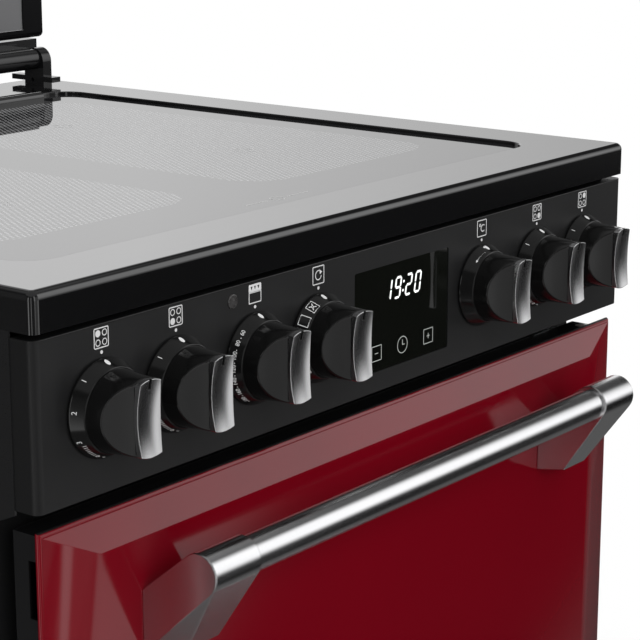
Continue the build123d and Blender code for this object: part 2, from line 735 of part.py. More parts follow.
def fan_blade():
    y1 = MAIN_BACK_Y - 6
    disc = rod_y(FAN_R, FAN_X, FAN_Z, (y1 - FAN_DISC_T, y1))
    hub = rod_y(FAN_HUB_R, FAN_X, FAN_Z, (y1 - FAN_BLADE_H, y1))
    wheel = disc + hub
    for i in range(FAN_BLADES):
        turn = Pos(FAN_X, 0, FAN_Z) * Rot(0, 360 / FAN_BLADES * i, 0)
        vane = block((FAN_HUB_R - 2, FAN_R - 2), (y1 - FAN_BLADE_H, y1 - FAN_DISC_T), even(FAN_BLADE_T / 2))
        wheel += turn * vane
    shaft_end = MAIN_BACK_Y + SHEET + FAN_MOTOR_L / 2
    wheel += rod_y(FAN_SHAFT_R, FAN_X, FAN_Z, (y1, shaft_end))
    return wheel


def fan_motor():
    y0 = MAIN_BACK_Y + SHEET
    body = rod_y(FAN_MOTOR_R, FAN_X, FAN_Z, (y0, y0 + FAN_MOTOR_L))
    body = fillet(body.edges().group_by(Axis.Y)[-1], 5)
    return body - rod_y(FAN_SHAFT_R + RUNNING_GAP, FAN_X, FAN_Z, (y0, y0 + FAN_MOTOR_L / 2 + 2))


def oven_lamp():
    z = MAIN_CAVITY_Z[1] - OVEN_LAMP_DROP
    y = MAIN_BACK_Y - FAN_COVER_GAP
    ring = rod_y(OVEN_LAMP_R, OVEN_LAMP_X, z, (y - OVEN_LAMP_T, y))
    return fillet(ring.edges().group_by(Axis.Y)[0], 4)


# Doors

def door_skin(z):
    """The door's bevelled outer skin: a raised middle inside a frame of four slopes."""
    slab = block(even(DOOR_HALF), (DOOR_EDGE_Y, DOOR_BACK_Y), z)
    slab = fillet(slab.edges().group_by(Axis.Y)[0], DOOR_EDGE_R)
    half = DOOR_HALF - DOOR_EDGE_R
    low, high = z[0] + DOOR_EDGE_R, z[1] - DOOR_EDGE_R

    def slopes(y_back, y_front, inset):
        outer = Rectangle(2 * (half - inset), high - low - 2 * inset)
        inner = Rectangle(2 * (half - BEVEL_SIDE - inset / 2), high - low - 2 * BEVEL_END - inset)
        middle = Pos(0, (low + high) / 2)
        return loft([upright(y_back) * (middle * outer), upright(y_front) * (middle * inner)], ruled=True)

    skin = slab + slopes(DOOR_EDGE_Y, DOOR_FACE_Y, 0)
    skin -= block(even(half), (DOOR_EDGE_Y + SHEET, DOOR_BACK_Y), (low, high))
    return skin - slopes(DOOR_EDGE_Y + SHEET, DOOR_FACE_Y + SHEET, SHEET)


def hinge_levels(z):
    """For the foot and the head of a door: its pan's outer height and the way into the door."""
    return [(z[0] + PAN_END_INSET, 1), (z[1] - PAN_END_INSET, -1)]


def span(start, way, near, far):
    """A (low, high) pair between two distances from a height, counted upward or downward."""
    ends = (start + way * near, start + way * far)
    return (min(ends), max(ends))


ARM_NEAR = SHEET + HINGE_SPARE
ARM_FAR = ARM_NEAR + HINGE_ARM_T
BLOCK_NEAR = ARM_FAR + HINGE_SPARE
BLOCK_FAR = BLOCK_NEAR + HINGE_BLOCK_T


def door_pan(z, cavity_z):
    """The door's black inner pan, with the plug that closes the oven and the hinge blocks."""
    low, high = z[0] + PAN_END_INSET, z[1] - PAN_END_INSET
    plug_z = (cavity_z[0] - PLUG_END_REACH, cavity_z[1] + PLUG_END_REACH)
    pan = block((PAN_LEFT, PAN_RIGHT), (DOOR_BACK_Y, PAN_BACK_Y), (low, high))
    pan = fillet(pan.edges().group_by(Axis.Y)[-1], PAN_R)
    pan += rounded_front(PLUG_HALF, plug_z, (PAN_BACK_Y - SHEET, PLUG_BACK_Y), PLUG_R)
    pan -= block((PAN_LEFT + SHEET, PAN_RIGHT - SHEET), (DOOR_BACK_Y, PAN_BACK_Y - SHEET), (low + SHEET, high - SHEET))
    pan -= rounded_front(PLUG_HALF - SHEET, (plug_z[0] + SHEET, plug_z[1] - SHEET),
                         (PAN_BACK_Y - SHEET, PLUG_BACK_Y - SHEET), PLUG_R - SHEET)
    slot_top = z[1] - DOOR_SLOT_DROP
    pan -= block((PAN_LEFT - 1, PAN_LEFT + SHEET), DOOR_SLOT_Y, (slot_top - DOOR_SLOT_H, slot_top))
    x = (HINGE_BLOCK_X, PAN_RIGHT - SHEET)
    y = (DOOR_BACK_Y, PAN_BACK_Y - SHEET)
    for start, way in hinge_levels(z):
        pan += block((x[0] - SHEET, x[1]), y, span(start, way, SHEET, BLOCK_FAR))
        pan -= block((x[0], PAN_RIGHT + 1), (y[0], PAN_BACK_Y + 1), span(start, way, SHEET, BLOCK_NEAR))
        pan -= rod_z(HINGE_PIN_R, HINGE_X, HINGE_Y, span(start, way, 0, BLOCK_FAR))
        pan -= rod_z(HINGE_PIN_HEAD_R, HINGE_X, HINGE_Y, span(start, way, 0, SHEET))
    return pan


def hinge_pins(z):
    pins = []
    for start, way in hinge_levels(z):
        head = rod_z(HINGE_PIN_HEAD_R, HINGE_X, HINGE_Y, span(start, way, 0, SHEET))
        pins.append(head + rod_z(HINGE_PIN_R, HINGE_X, HINGE_Y, span(start, way, SHEET, BLOCK_FAR)))
    return Compound(pins)


def hinge_arm(start, way):
    """A flat arm on the front frame, with the eye that carries the door's pin."""
    z = span(start, way, ARM_NEAR, ARM_FAR)
    lean = math.degrees(math.atan2(HINGE_X - HINGE_ROOT_X, FRAME_Y - HINGE_Y))
    reach = math.hypot(HINGE_X - HINGE_ROOT_X, FRAME_Y - HINGE_Y)
    bar = Pos(HINGE_X, HINGE_Y, 0) * Rot(0, 0, lean) * block(even(HINGE_ARM_W / 2), (0, reach), z)
    foot_z = (z[0] + z[1] - HINGE_FOOT_H) / 2
    foot = block((HINGE_ROOT_X - HINGE_FOOT_HALF, HINGE_ROOT_X + HINGE_FOOT_HALF), (FRAME_Y - HINGE_FOOT_T, FRAME_Y),
                 (foot_z, foot_z + HINGE_FOOT_H))
    arm = rod_z(HINGE_EYE_R, HINGE_X, HINGE_Y, z) + bar + foot
    arm -= block(even(HALF_W), (FRAME_Y, FRAME_Y + HINGE_ARM_W), (z[0] - HINGE_FOOT_H, z[1] + HINGE_FOOT_H))
    return arm - rod_z(HINGE_PIN_R + RUNNING_GAP, HINGE_X, HINGE_Y, z)


def door_hinge_arms():
    return Compound([hinge_arm(start, way) for z in (TOP_DOOR_Z, MAIN_DOOR_Z) for start, way in hinge_levels(z)])


# Door handles

def handle_axis_z(z):
    return z[1] - HANDLE_DROP


def handle_bar(z):
    half = HANDLE_SPAN / 2 - HANDLE_END_W
    return rod_x(HANDLE_R, -HANDLE_OUT, handle_axis_z(z), even(half))


def tangent_point(centre, radius, point, side):
    """Where a line from the point touches the circle; side picks one of the two."""
    dy, dz = point[0] - centre[0], point[1] - centre[1]
    reach = math.hypot(dy, dz)
    turn = math.atan2(dz, dy) + side * math.acos(radius / reach)
    return (centre[0] + radius * math.cos(turn), centre[1] + radius * math.sin(turn))


def handle_end(z):
    """The right-hand handle end: a round collar carried by a wedge that drops to the door."""
    axis = (-HANDLE_OUT, handle_axis_z(z))
    x = (HANDLE_SPAN / 2 - HANDLE_END_W, HANDLE_SPAN / 2)
    foot_top = (DOOR_FACE_Y, axis[1] - FOOT_TOP_DROP)
    foot_bottom = (DOOR_FACE_Y, axis[1] - FOOT_BOTTOM_DROP)
    chin = (CHIN_Y, axis[1] - CHIN_DROP)
    upper = tangent_point(axis, COLLAR_R, foot_top, 1)
    lower = tangent_point(axis, COLLAR_R, chin, -1)
    wedge = side_profile([upper, foot_top, foot_bottom, chin, lower, axis], x)
    collar = rod_x(COLLAR_R, axis[0], axis[1], x)
    end = collar + wedge
    straight = tangent_point(axis, COLLAR_R, foot_bottom, -1)
    corner = [(x[1], straight[0], straight[1]), (x[1], foot_bottom[0], foot_bottom[1]),
              (x[1] - CHAMFER_IN, chin[0], chin[1])]
    below = (x[1], chin[0], chin[1] - 1)
    return end - corner_wedge(corner, below)


def corner_wedge(corner, outside):
    """A large block on the outer side of the plane through three points."""
    a, b, c = [Vector(*p) for p in corner]
    normal = (b - a).cross(c - a).normalized()
    if (Vector(*outside) - a).dot(normal) < 0:
        normal = normal * -1
    return extrude(Plane(origin=a, z_dir=normal) * Rectangle(300, 300), 60)


def handle_ends(z):
    return both_sides(handle_end(z))


# Lid

def lid_hinge_bracket():
    """An upright plate on the hob's rear edge, with the eye for the lid's pin."""
    x = (BRACKET_X - BRACKET_W / 2, BRACKET_X + BRACKET_W / 2)
    top_z = HOB_TOP + BRACKET_TOP - BRACKET_HALF
    upright_part = block(x, (PIVOT_Y - BRACKET_HALF, PIVOT_Y + BRACKET_HALF), (HOB_TOP, top_z))
    crown = rod_x(BRACKET_HALF, PIVOT_Y, top_z, x)
    arm_z = HOB_TOP + BRACKET_ARM_RISE
    arm = block(x, (PIVOT_Y - BRACKET_TOE, PIVOT_Y + BRACKET_HEEL), (arm_z, arm_z + BRACKET_ARM_H))
    bracket = upright_part + crown + arm
    bracket -= rod_x(LID_PIN_R + RUNNING_GAP, PIVOT_Y, PIVOT_Z, x)
    return bracket - rod_x(BRACKET_EYE_R, PIVOT_Y + BRACKET_EYE_BACK, HOB_TOP + BRACKET_EYE_RISE, x)


def lid_hinge_brackets():
    return both_sides(lid_hinge_bracket())


def lid_hinge_tube():
    """The tube that turns in the brackets, with the rail that carries the lid."""
    inner = BRACKET_X - BRACKET_W / 2 - SEAT_GAP
    tube = rod_x(TUBE_R, PIVOT_Y, PIVOT_Z, even(inner))
    pins = rod_x(LID_PIN_R, PIVOT_Y, PIVOT_Z, even(BRACKET_X + BRACKET_W / 2))
    z = (HOB_TOP + RAIL_BOTTOM, HOB_TOP + LID_BOTTOM)
    rail = block(even(RAIL_HALF), (RAIL_FRONT_Y, LID_BACK_Y - RAIL_BACK_INSET), z)
    web = block(even(inner - WEB_INSET), (PIVOT_Y, RAIL_FRONT_Y), (z[0], z[0] + 2 * SHEET))
    return tube + pins + rail + web


def lid_frame():
    half = HALF_W - LID_SIDE_GAP
    z = (HOB_TOP + LID_BOTTOM, HOB_TOP + LID_TOP)
    outer = block(even(half), (LID_Y, LID_BACK_Y), z)
    outer = fillet(outer.edges(), LID_EDGE_R)
    inner = block(even(half - SHEET), (LID_Y + SHEET, LID_BACK_Y - SHEET), (z[0] + SHEET, z[1] - SHEET))
    inner = fillet(inner.edges(), LID_EDGE_R - SHEET)
    window = block(even(half - LID_BORDER), (LID_Y - 1, LID_Y + SHEET + 1),
                   (z[0] + LID_FOOT_BORDER, z[1] - LID_BORDER))
    return outer - inner - window


def lid_glass():
    half = HALF_W - LID_SIDE_GAP - LID_BORDER + LID_GLASS_LAP
    z = (HOB_TOP + LID_BOTTOM + LID_FOOT_BORDER - LID_GLASS_LAP / 2, HOB_TOP + LID_TOP - LID_BORDER + LID_GLASS_LAP)
    return block(even(half), (LID_Y + SHEET, LID_Y + SHEET + LID_GLASS_T), z)


def all_pieces():
    pieces = {
        "base_tray": base_tray(),
        "side_panel_right": side_panel(),
        "side_panel_left": mirror(side_panel(), about=Plane.YZ),
        "back_panel": back_panel(),
        "front_frame": front_frame(),
        "plinth": plinth(),
        "levelling_feet": levelling_feet(),
        "hob_surround": hob_surround(),
        "hob_glass": hob_glass(),
        "hob_rear_trim": hob_rear_trim(),
        "hob_coil_tray": hob_coil_tray(),
        "induction_coils": induction_coils(),
        "hob_power_board": hob_power_board(),
        "control_fascia": control_fascia(),
        "display_window": display_window(),
        "timer_board": timer_board(),
        "indicator_lamp": indicator_lamp(),
        "rotary_switches": rotary_switches(),
        "top_oven_liner": top_oven_liner(),
        "main_oven_liner": main_oven_liner(),
        "oven_door_seals": oven_door_seals(),
        "grill_element": grill_element(),
        "fan_element": fan_element(),
        "fan_cover": fan_cover(),
        "fan_blade": fan_blade(),
        "fan_motor": fan_motor(),
        "oven_lamp": oven_lamp(),
        "shelf_runners": shelf_runners(),
        "top_oven_shelf": top_oven_shelf(),
        "main_oven_shelf": main_oven_shelf(),
        "door_hinge_arms": door_hinge_arms(),
        "lid_glass": lid_glass(),
        "lid_frame": lid_frame(),
        "lid_hinge_tube": lid_hinge_tube(),
        "lid_hinge_brackets": lid_hinge_brackets(),
        "terminal_block": terminal_block(),
    }
    for name, z, cavity_z in (("top_door", TOP_DOOR_Z, TOP_CAVITY_Z), ("main_door", MAIN_DOOR_Z, MAIN_CAVITY_Z)):
        pieces[name + "_skin"] = door_skin(z)
        pieces[name + "_inner_pan"] = door_pan(z, cavity_z)
        pieces[name + "_handle_bar"] = handle_bar(z)
        pieces[name + "_handle_ends"] = handle_ends(z)
        pieces[name + "_hinge_pins"] = hinge_pins(z)
    body, grip = knob_body(), knob_grip()
    for number, x in enumerate(KNOB_X, start=1):
        pieces["knob_%d" % number] = Pos(x, 0, KNOB_Z) * body
        pieces["knob_%d_grip" % number] = Pos(x, 0, KNOB_Z) * grip
    return pieces


def main():
    os.makedirs("parts", exist_ok=True)
    for name, solid in all_pieces().items():
        export_step(Pos(0, -MIDDLE_Y, 0) * solid, "parts/" + name + ".step")
    print("origin lies %.2f mm behind the hob's front edge" % MIDDLE_Y)


main()
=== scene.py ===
"""Finishes, printed marks and small fittings of a free-standing induction cooker with two ovens."""

import json
import math

import bmesh
import bpy
from bpy.props import FloatProperty, FloatVectorProperty, IntProperty, PointerProperty, StringProperty
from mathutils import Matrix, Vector


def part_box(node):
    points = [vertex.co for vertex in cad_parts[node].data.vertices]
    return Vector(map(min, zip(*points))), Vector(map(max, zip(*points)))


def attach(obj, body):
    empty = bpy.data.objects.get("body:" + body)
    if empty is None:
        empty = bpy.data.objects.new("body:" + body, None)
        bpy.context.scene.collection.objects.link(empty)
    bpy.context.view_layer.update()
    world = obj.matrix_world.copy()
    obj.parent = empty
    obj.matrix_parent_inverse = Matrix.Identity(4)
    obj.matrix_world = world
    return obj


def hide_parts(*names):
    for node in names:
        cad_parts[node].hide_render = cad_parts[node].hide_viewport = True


bl_info = {
    "name": "Induction cooker",
    "version": (1, 0, 0),
    "blender": (4, 5, 0),
    "location": "3D View > Sidebar > Cooker",
    "description": "Dresses a free-standing induction cooker: enamels, glass, chrome, print and fittings",
    "category": "Add Mesh",
}

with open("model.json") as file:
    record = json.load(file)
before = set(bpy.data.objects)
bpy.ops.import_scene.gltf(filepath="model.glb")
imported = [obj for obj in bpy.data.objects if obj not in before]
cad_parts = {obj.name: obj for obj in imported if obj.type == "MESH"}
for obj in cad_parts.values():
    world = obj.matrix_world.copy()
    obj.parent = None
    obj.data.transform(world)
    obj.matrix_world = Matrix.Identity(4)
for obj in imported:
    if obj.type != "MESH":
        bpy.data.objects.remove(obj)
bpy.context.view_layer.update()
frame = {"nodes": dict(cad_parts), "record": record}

# Places on the cooker, in metres, taken from the frame
PANEL_FACE_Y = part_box("control_fascia")[0].y
PANEL_TOP_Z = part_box("control_fascia")[1].z
PANEL_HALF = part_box("control_fascia")[1].x
WINDOW_FACE_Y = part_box("display_window")[0].y
GLASS_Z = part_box("hob_glass")[1].z
HOB_TOP_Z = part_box("hob_surround")[1].z
BACK_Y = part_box("back_panel")[1].y
BACK_Z = (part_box("back_panel")[0].z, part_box("back_panel")[1].z)
KNOBS = ["knob_%d" % n for n in range(1, 8)]
KNOB_X = [(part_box(k)[0].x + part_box(k)[1].x) / 2 for k in KNOBS]
KNOB_Z = (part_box("knob_1")[0].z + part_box("knob_1")[1].z) / 2
KNOB_BACK_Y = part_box("knob_1")[1].y
STEM_END_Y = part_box("knob_1_grip")[1].y

# A knob, in millimetres. Depths are counted forwards from the knob's back. The skirt is a cone between two
# circles, each given by its radius and its depth
SKIRT_BACK = (27.7, 1.2)
SKIRT_FRONT = (23.6, 9.0)
BODY_BACK_R = 22.8
BODY_FRONT_R = 21.4
FACE_DEPTH = 30.2
RIM_ROUND = 0.8
SCOOP_IN = 8.6
SCOOP_OUT = 22.2
SCOOP_FALL = 11.2
SCOOP_SAG = 0.7
BORE_R = 3.05
HUB_R = 8.0
CUP_R = 19.0
CUP_DEPTH = 6.0
GRIP_HALF = 9.1
GRIP_WAIST = 1.2
GRIP_DEPTH = 35.1
GRIP_HOLLOW = 2.4
GRIP_DISH = 0.9
GROOVE_HALF = 0.65
GROOVE_LENGTH = 5.3
GROOVE_DEPTH = 1.2
STEM_R = 3.0
STEM_SINK = 1.0
STEM_SIDES = 24

# How far the groove's painted shade reaches past its sides, past its lower end and behind the grip's front
GROOVE_SHADE_MARGIN = (0.4, 0.8, 3.0)

# A handle end, in millimetres
FOOT_TOP_DROP = 17.6
CHIN_OUT = 22.5
CHIN_RISE = 4.0
CHIN_CUT = 11.0

# Rounded edges: steps of an arc, and how far past its ends a point is held, as a share of its reach
EDGE_SEGMENTS = 3
ARC_HOLD = 1.35

# Cooking zones on the glass, in metres: each one's middle in X and half width, then what both share
ZONES = ((-0.134, 0.092), (0.117, 0.101))
ZONE_MIDDLE_Y = 0.0255
ZONE_HALF_LENGTH = 0.190
ZONE_CORNER = 0.03

# The four coils, in metres: how far their middles lie to each side, the middle between their two rows and how
# far each row lies from it. The rings are a wave, counted in radians per metre
COIL_X = 0.112
COIL_MIDDLE_Y = 0.01615
COIL_STEP_Y = 0.093
COIL_WAVE = 3200.0

# Places of the printed marks, in millimetres. A drop is counted down from the hob's top
ICON_DROP = 33.8
ICON_CORNER = 0.9
DOT_DROP = 41.7
CLOCK_X = 11.0
CLOCK_DROP = 63.8
FIGURE_LEFT = (-5.0, 5.1, 16.9, 26.8)
FIGURE_WIDTH = 6.9
FIGURE_LINE = 1.5
FIGURE_LEAN = 10.0
COLON_U = 14.4
TOUCH_DROP = 95.1
MINUS_KEY_U = -1.7
PLUS_KEY_U = 54.9
DIAL_KEY_U = 26.2
ZONE_CROSSES = ((118.0, 114.15), (115.5, -68.85), (-134.0, -78.85), (-134.0, 104.15))
FRONT_MARK = (-14.0, -203.85)

# The bead along the panel's top edge, in millimetres
BEAD_R = 0.6
BEAD_CORNER = 5.0
BEAD_INSET = 0.45
BEAD_DROP = 0.5
BEAD_RETURN = 15.0

# Screws round the back panel, in metres: the row's width, and how much lower it is than the panel
SCREW_ROW_WIDTH = 0.572
SCREW_ROW_MARGIN = 0.03

# The camera at the photograph's place, in metres, the direction in which it looks and its lens in millimetres
CAMERA_PLACE = (-1.0097, -1.00625, 1.1390)
CAMERA_LOOK = (0.76785, 0.59265, -0.24325)
CAMERA_LENS = 115.86

# Lamps: name, place and aim in metres, size in metres and power in watts
LAMPS = (
    ("front_softbox", (-1.6, -3.2, 2.4), (0.0, -0.2, 0.8), (2.4, 1.8), 60.0),
    ("top_softbox", (0.4, -0.4, 3.4), (0.0, 0.0, 0.8), (2.2, 2.2), 30.0),
)

# The studio as gloss shows it. Each panel has its azimuth, elevation, half width, half height and soft edge
# in degrees, and its strength. The backdrop and the floor's shade get their strength where they are used
PANELS = {
    "upper": (66.0, 30.0, 30.0, 9.0, 4.0, 0.55),
    "softbox": (-37.5, 18.5, 14.0, 20.5, 9.5, 1.5),
    "front": (-80.0, 10.0, 30.0, 20.0, 6.0, 0.34),
    "front_low": (-80.0, -14.0, 14.0, 12.0, 5.0, 0.3),
    "front_strip": (-58.0, -8.0, 6.0, 26.0, 3.5, 0.95),
    "narrow_front_strip": (-98.0, 14.0, 6.0, 28.0, 3.0, 1.5),
    "left_strip": (184.0, -5.0, 6.0, 34.0, 3.0, 1.5),
    "narrow_left_strip": (218.0, 0.0, 4.0, 32.0, 2.0, 1.2),
    "left_side": (140.0, 12.0, 26.0, 22.0, 8.0, 0.1),
}
BACKDROP = (37.0, 8.0, 62.0, 14.0, 6.0)
FLOOR_SHADE = (-34.0, -21.0, 16.0, 16.0, 5.0)


def mm(value):
    """Millimetres as metres."""
    return value / 1000.0


# Sizes and colours a user would change


class CookerColours(bpy.types.PropertyGroup):
    """Colours of the cooker's finishes."""

    door_red: FloatVectorProperty(
        name="Door red", description="Enamel of the two door skins",
        subtype="COLOR", size=3, min=0, max=1, default=(0.155, 0.0006, 0.006))
    hob_black: FloatVectorProperty(
        name="Hob black", description="Enamel of the hob surround",
        subtype="COLOR", size=3, min=0, max=1, default=(0.005, 0.005, 0.0053))
    panel_black: FloatVectorProperty(
        name="Panel black", description="Satin enamel of the control panel",
        subtype="COLOR", size=3, min=0, max=1, default=(0.0085, 0.0085, 0.0088))
    knob_black: FloatVectorProperty(
        name="Knob black", description="Moulding of the knobs",
        subtype="COLOR", size=3, min=0, max=1, default=(0.005, 0.005, 0.005))
    print_white: FloatVectorProperty(
        name="Print white", description="Ink of the marks on the panel and the knobs",
        subtype="COLOR", size=3, min=0, max=1, default=(0.78, 0.78, 0.78))
    bare_metal: FloatVectorProperty(
        name="Bright metal", description="Polished bar and chrome",
        subtype="COLOR", size=3, min=0, max=1, default=(0.72, 0.72, 0.73))


class CookerSizes(bpy.types.PropertyGroup):
    """Sizes of the printed marks and the small fittings."""

    print_thickness: FloatProperty(
        name="Print thickness", description="How far a printed mark stands off its surface",
        unit="LENGTH", default=0.00006, min=0.00001, max=0.0005)
    icon_size: FloatProperty(
        name="Icon size", description="Outer side of the square icons above the knobs",
        unit="LENGTH", default=0.0113, min=0.004, max=0.03)
    icon_line: FloatProperty(
        name="Icon line", description="Width of the icons' lines",
        unit="LENGTH", default=0.0006, min=0.0002, max=0.003)
    clock_height: FloatProperty(
        name="Clock height", description="Height of the clock's figures",
        unit="LENGTH", default=0.0142, min=0.004, max=0.04)
    clock_text: StringProperty(
        name="Clock", description="Time that the clock shows, four figures", default="1920", maxlen=4)
    dot_pitch: FloatProperty(
        name="Dot pitch", description="Distance between the dots on the hob's glass",
        unit="LENGTH", default=0.0042, min=0.001, max=0.02)
    screw_count: IntProperty(
        name="Screws", description="Screws round the back panel", default=18, min=4, max=60)
    screw_radius: FloatProperty(
        name="Screw head", description="Radius of a screw's head",
        unit="LENGTH", default=0.0042, min=0.001, max=0.02)


# Node trees, for materials and for pieces that repeat


class Wire:
    """A node's output that can stand in a sum as if it were a number."""

    def __init__(self, bench, socket):
        self.bench = bench
        self.socket = socket

    def sum(self, operation, *values):
        return self.bench.node("ShaderNodeMath", {"operation": operation}, dict(enumerate(values)))

    def __add__(self, other):
        return self.sum("ADD", self, other)

    def __radd__(self, other):
        return self.sum("ADD", other, self)

    def __sub__(self, other):
        return self.sum("SUBTRACT", self, other)

    def __rsub__(self, other):
        return self.sum("SUBTRACT", other, self)

    def __mul__(self, other):
        return self.sum("MULTIPLY", self, other)

    def __rmul__(self, other):
        return self.sum("MULTIPLY", other, self)

    def __truediv__(self, other):
        return self.sum("DIVIDE", self, other)

    def __rtruediv__(self, other):
        return self.sum("DIVIDE", other, self)

    def __pow__(self, other):
        return self.sum("POWER", self, other)

    def __lt__(self, other):
        return self.sum("LESS_THAN", self, other)

    def __gt__(self, other):
        return self.sum("GREATER_THAN", self, other)

    def __neg__(self):
        return self.sum("MULTIPLY", self, -1.0)

    def __abs__(self):
        return self.sum("ABSOLUTE", self)

    def least(self, other):
        return self.sum("MINIMUM", self, other)

    def most(self, other):
        return self.sum("MAXIMUM", self, other)

    def held(self):
        """The value kept between 0 and 1."""
        return self.sum("MINIMUM", self.sum("MAXIMUM", self, 0.0), 1.0)

    def root(self):
        return self.sum("SQRT", self)

    def part(self, name):
        """Another output of the same node."""
        return Wire(self.bench, self.socket.node.outputs[name])


class Bench:
    """A node tree with one way to add a node."""

    def __init__(self, tree):
        self.tree = tree

    def node(self, kind, settings=None, inputs=None, out=0):
        """Adds a node with its settings, then with the values or the links of its sockets."""
        made = self.tree.nodes.new(kind)
        for key, value in (settings or {}).items():
            setattr(made, key, value)
        for key, value in (inputs or {}).items():
            self.plug(made.inputs[key], value)
        return Wire(self, made.outputs[out]) if made.outputs else made

    def plug(self, socket, value):
        if isinstance(value, Wire):
            self.tree.links.new(value.socket, socket)
        else:
            socket.default_value = value

    def ease(self, value, start, end):
        """Rises smoothly from 0 to 1 as the value goes from start to end."""
        smooth = {"interpolation_type": "SMOOTHSTEP"}
        return self.node("ShaderNodeMapRange", smooth, {0: value, 1: start, 2: end})


class Studio(Bench):
    """The surroundings that gloss shows, as soft panels in given directions."""

    def __init__(self, tree):
        super().__init__(tree)
        ahead = self.node("ShaderNodeTexCoord", out="Generated")
        split = self.node("ShaderNodeSeparateXYZ", inputs={0: ahead})
        self.east, self.north, self.up = split.part("X"), split.part("Y"), split.part("Z")

    def along(self, x, y, z):
        """How far the direction points along another one."""
        return self.east * x + self.north * y + self.up * z

    def panel(self, azimuth, elevation, half_width, half_height, soft):
        """A soft-edged panel, with all its sizes in degrees."""
        a, e = math.radians(azimuth), math.radians(elevation)
        ahead = self.along(math.cos(e) * math.cos(a), math.cos(e) * math.sin(a), math.sin(e))
        aside = self.along(-math.sin(a), math.cos(a), 0.0)
        above = self.along(-math.sin(e) * math.cos(a), -math.sin(e) * math.sin(a), math.cos(e))
        shown = ahead > 0.0
        for offset, half in ((aside, half_width), (above, half_height)):
            angle = abs(offset.sum("ARCTAN2", offset, ahead))
            shown = shown * (1.0 - self.ease(angle, math.radians(half - soft), math.radians(half + soft)))
        return shown


class Finish(Bench):
    """A material made of nodes. Its pattern is read from the piece's own coordinates."""

    def __init__(self, name):
        self.material = bpy.data.materials.new(name)
        self.material.use_nodes = True
        super().__init__(self.material.node_tree)
        self.tree.nodes.clear()

    def place(self):
        """The point on the piece, in metres."""
        return self.node("ShaderNodeTexCoord", out="Object")

    def axes(self):
        """The point's X, Y and Z as three values, in metres."""
        split = self.node("ShaderNodeSeparateXYZ", inputs={0: self.place()})
        return split.part("X"), split.part("Y"), split.part("Z")

    def noise(self, scale, detail=2.0, roughness=0.5, stretch=None):
        """Noise from 0 to 1, with scale in patches per metre."""
        at = self.place()
        if stretch:
            at = self.node("ShaderNodeMapping", inputs={"Vector": at, "Scale": stretch})
        return self.node("ShaderNodeTexNoise",
                         inputs={"Vector": at, "Scale": scale, "Detail": detail, "Roughness": roughness})

    def cells(self, scale):
        """A grey tone of its own for each cell of a pattern, with scale in cells per metre."""
        at = {"Vector": self.place(), "Scale": scale}
        colour = self.node("ShaderNodeTexVoronoi", {"feature": "F1"}, at, "Color")
        return self.node("ShaderNodeRGBToBW", inputs={0: colour})

    def grain(self, height, depth):
        """A bumped normal from a height value, with the full depth in metres."""
        return self.node("ShaderNodeBump", inputs={"Strength": 1.0, "Distance": depth, "Height": height})

    def blend(self, factor, a, b):
        """A colour between two colours."""
        return self.node("ShaderNodeMix", {"data_type": "RGBA"}, {0: factor, 6: a, 7: b}, out=2)

    def surface(self, **values):
        """The one shader of the material, with its named sockets."""
        sockets = {key.replace("_", " "): value for key, value in values.items()}
        made = self.node("ShaderNodeBsdfPrincipled", inputs=sockets)
        self.node("ShaderNodeOutputMaterial", inputs={"Surface": made})
        return self.material


def rgba(colour, factor=1.0):
    """A colour of three numbers, made darker or lighter by a factor, with full opacity."""
    return (*[min(1.0, channel * factor) for channel in colour], 1.0)


# Finishes, one for each material slot of the cooker


def gloss_enamel(name, colour, smudge=0.02, roughness=0.045, ior=1.5):
    """Fired black enamel: glossy, with faint waviness and handling marks."""
    f = Finish(name)
    wave = f.noise(9.0, 1.0)
    dust = f.noise(420.0, 2.0, 0.6)
    return f.surface(
        Base_Color=f.blend(dust * 0.5, rgba(colour), rgba(colour, 1.5)),
        Roughness=(wave - 0.5) * smudge + roughness,
        IOR=ior, Normal=f.grain(wave, 0.00002))


def satin_enamel(name, colour, roughness=0.42):
    """Satin black enamel with a fine powdery grain."""
    f = Finish(name)
    fine = f.noise(1500.0, 2.0, 0.7)
    wide = f.noise(14.0, 1.0)
    return f.surface(
        Base_Color=f.blend(fine, rgba(colour, 0.7), rgba(colour, 1.35)),
        Roughness=(fine - 0.5) * 0.16 + (wide - 0.5) * 0.05 + roughness,
        IOR=1.46, Normal=f.grain(fine, 0.000012))


def red_enamel(name, colour):
    """Deep red gloss enamel with a faint orange-peel skin."""
    f = Finish(name)
    fine = f.noise(900.0, 2.0, 0.6)
    wide = f.noise(7.0, 1.0)
    tone = fine * 0.5 + wide * 0.5
    return f.surface(
        Base_Color=f.blend(tone, rgba(colour, 0.93), rgba(colour, 1.08)),
        Roughness=(fine - 0.5) * 0.06 + 0.12,
        IOR=1.5, Normal=f.grain(fine, 0.000004))


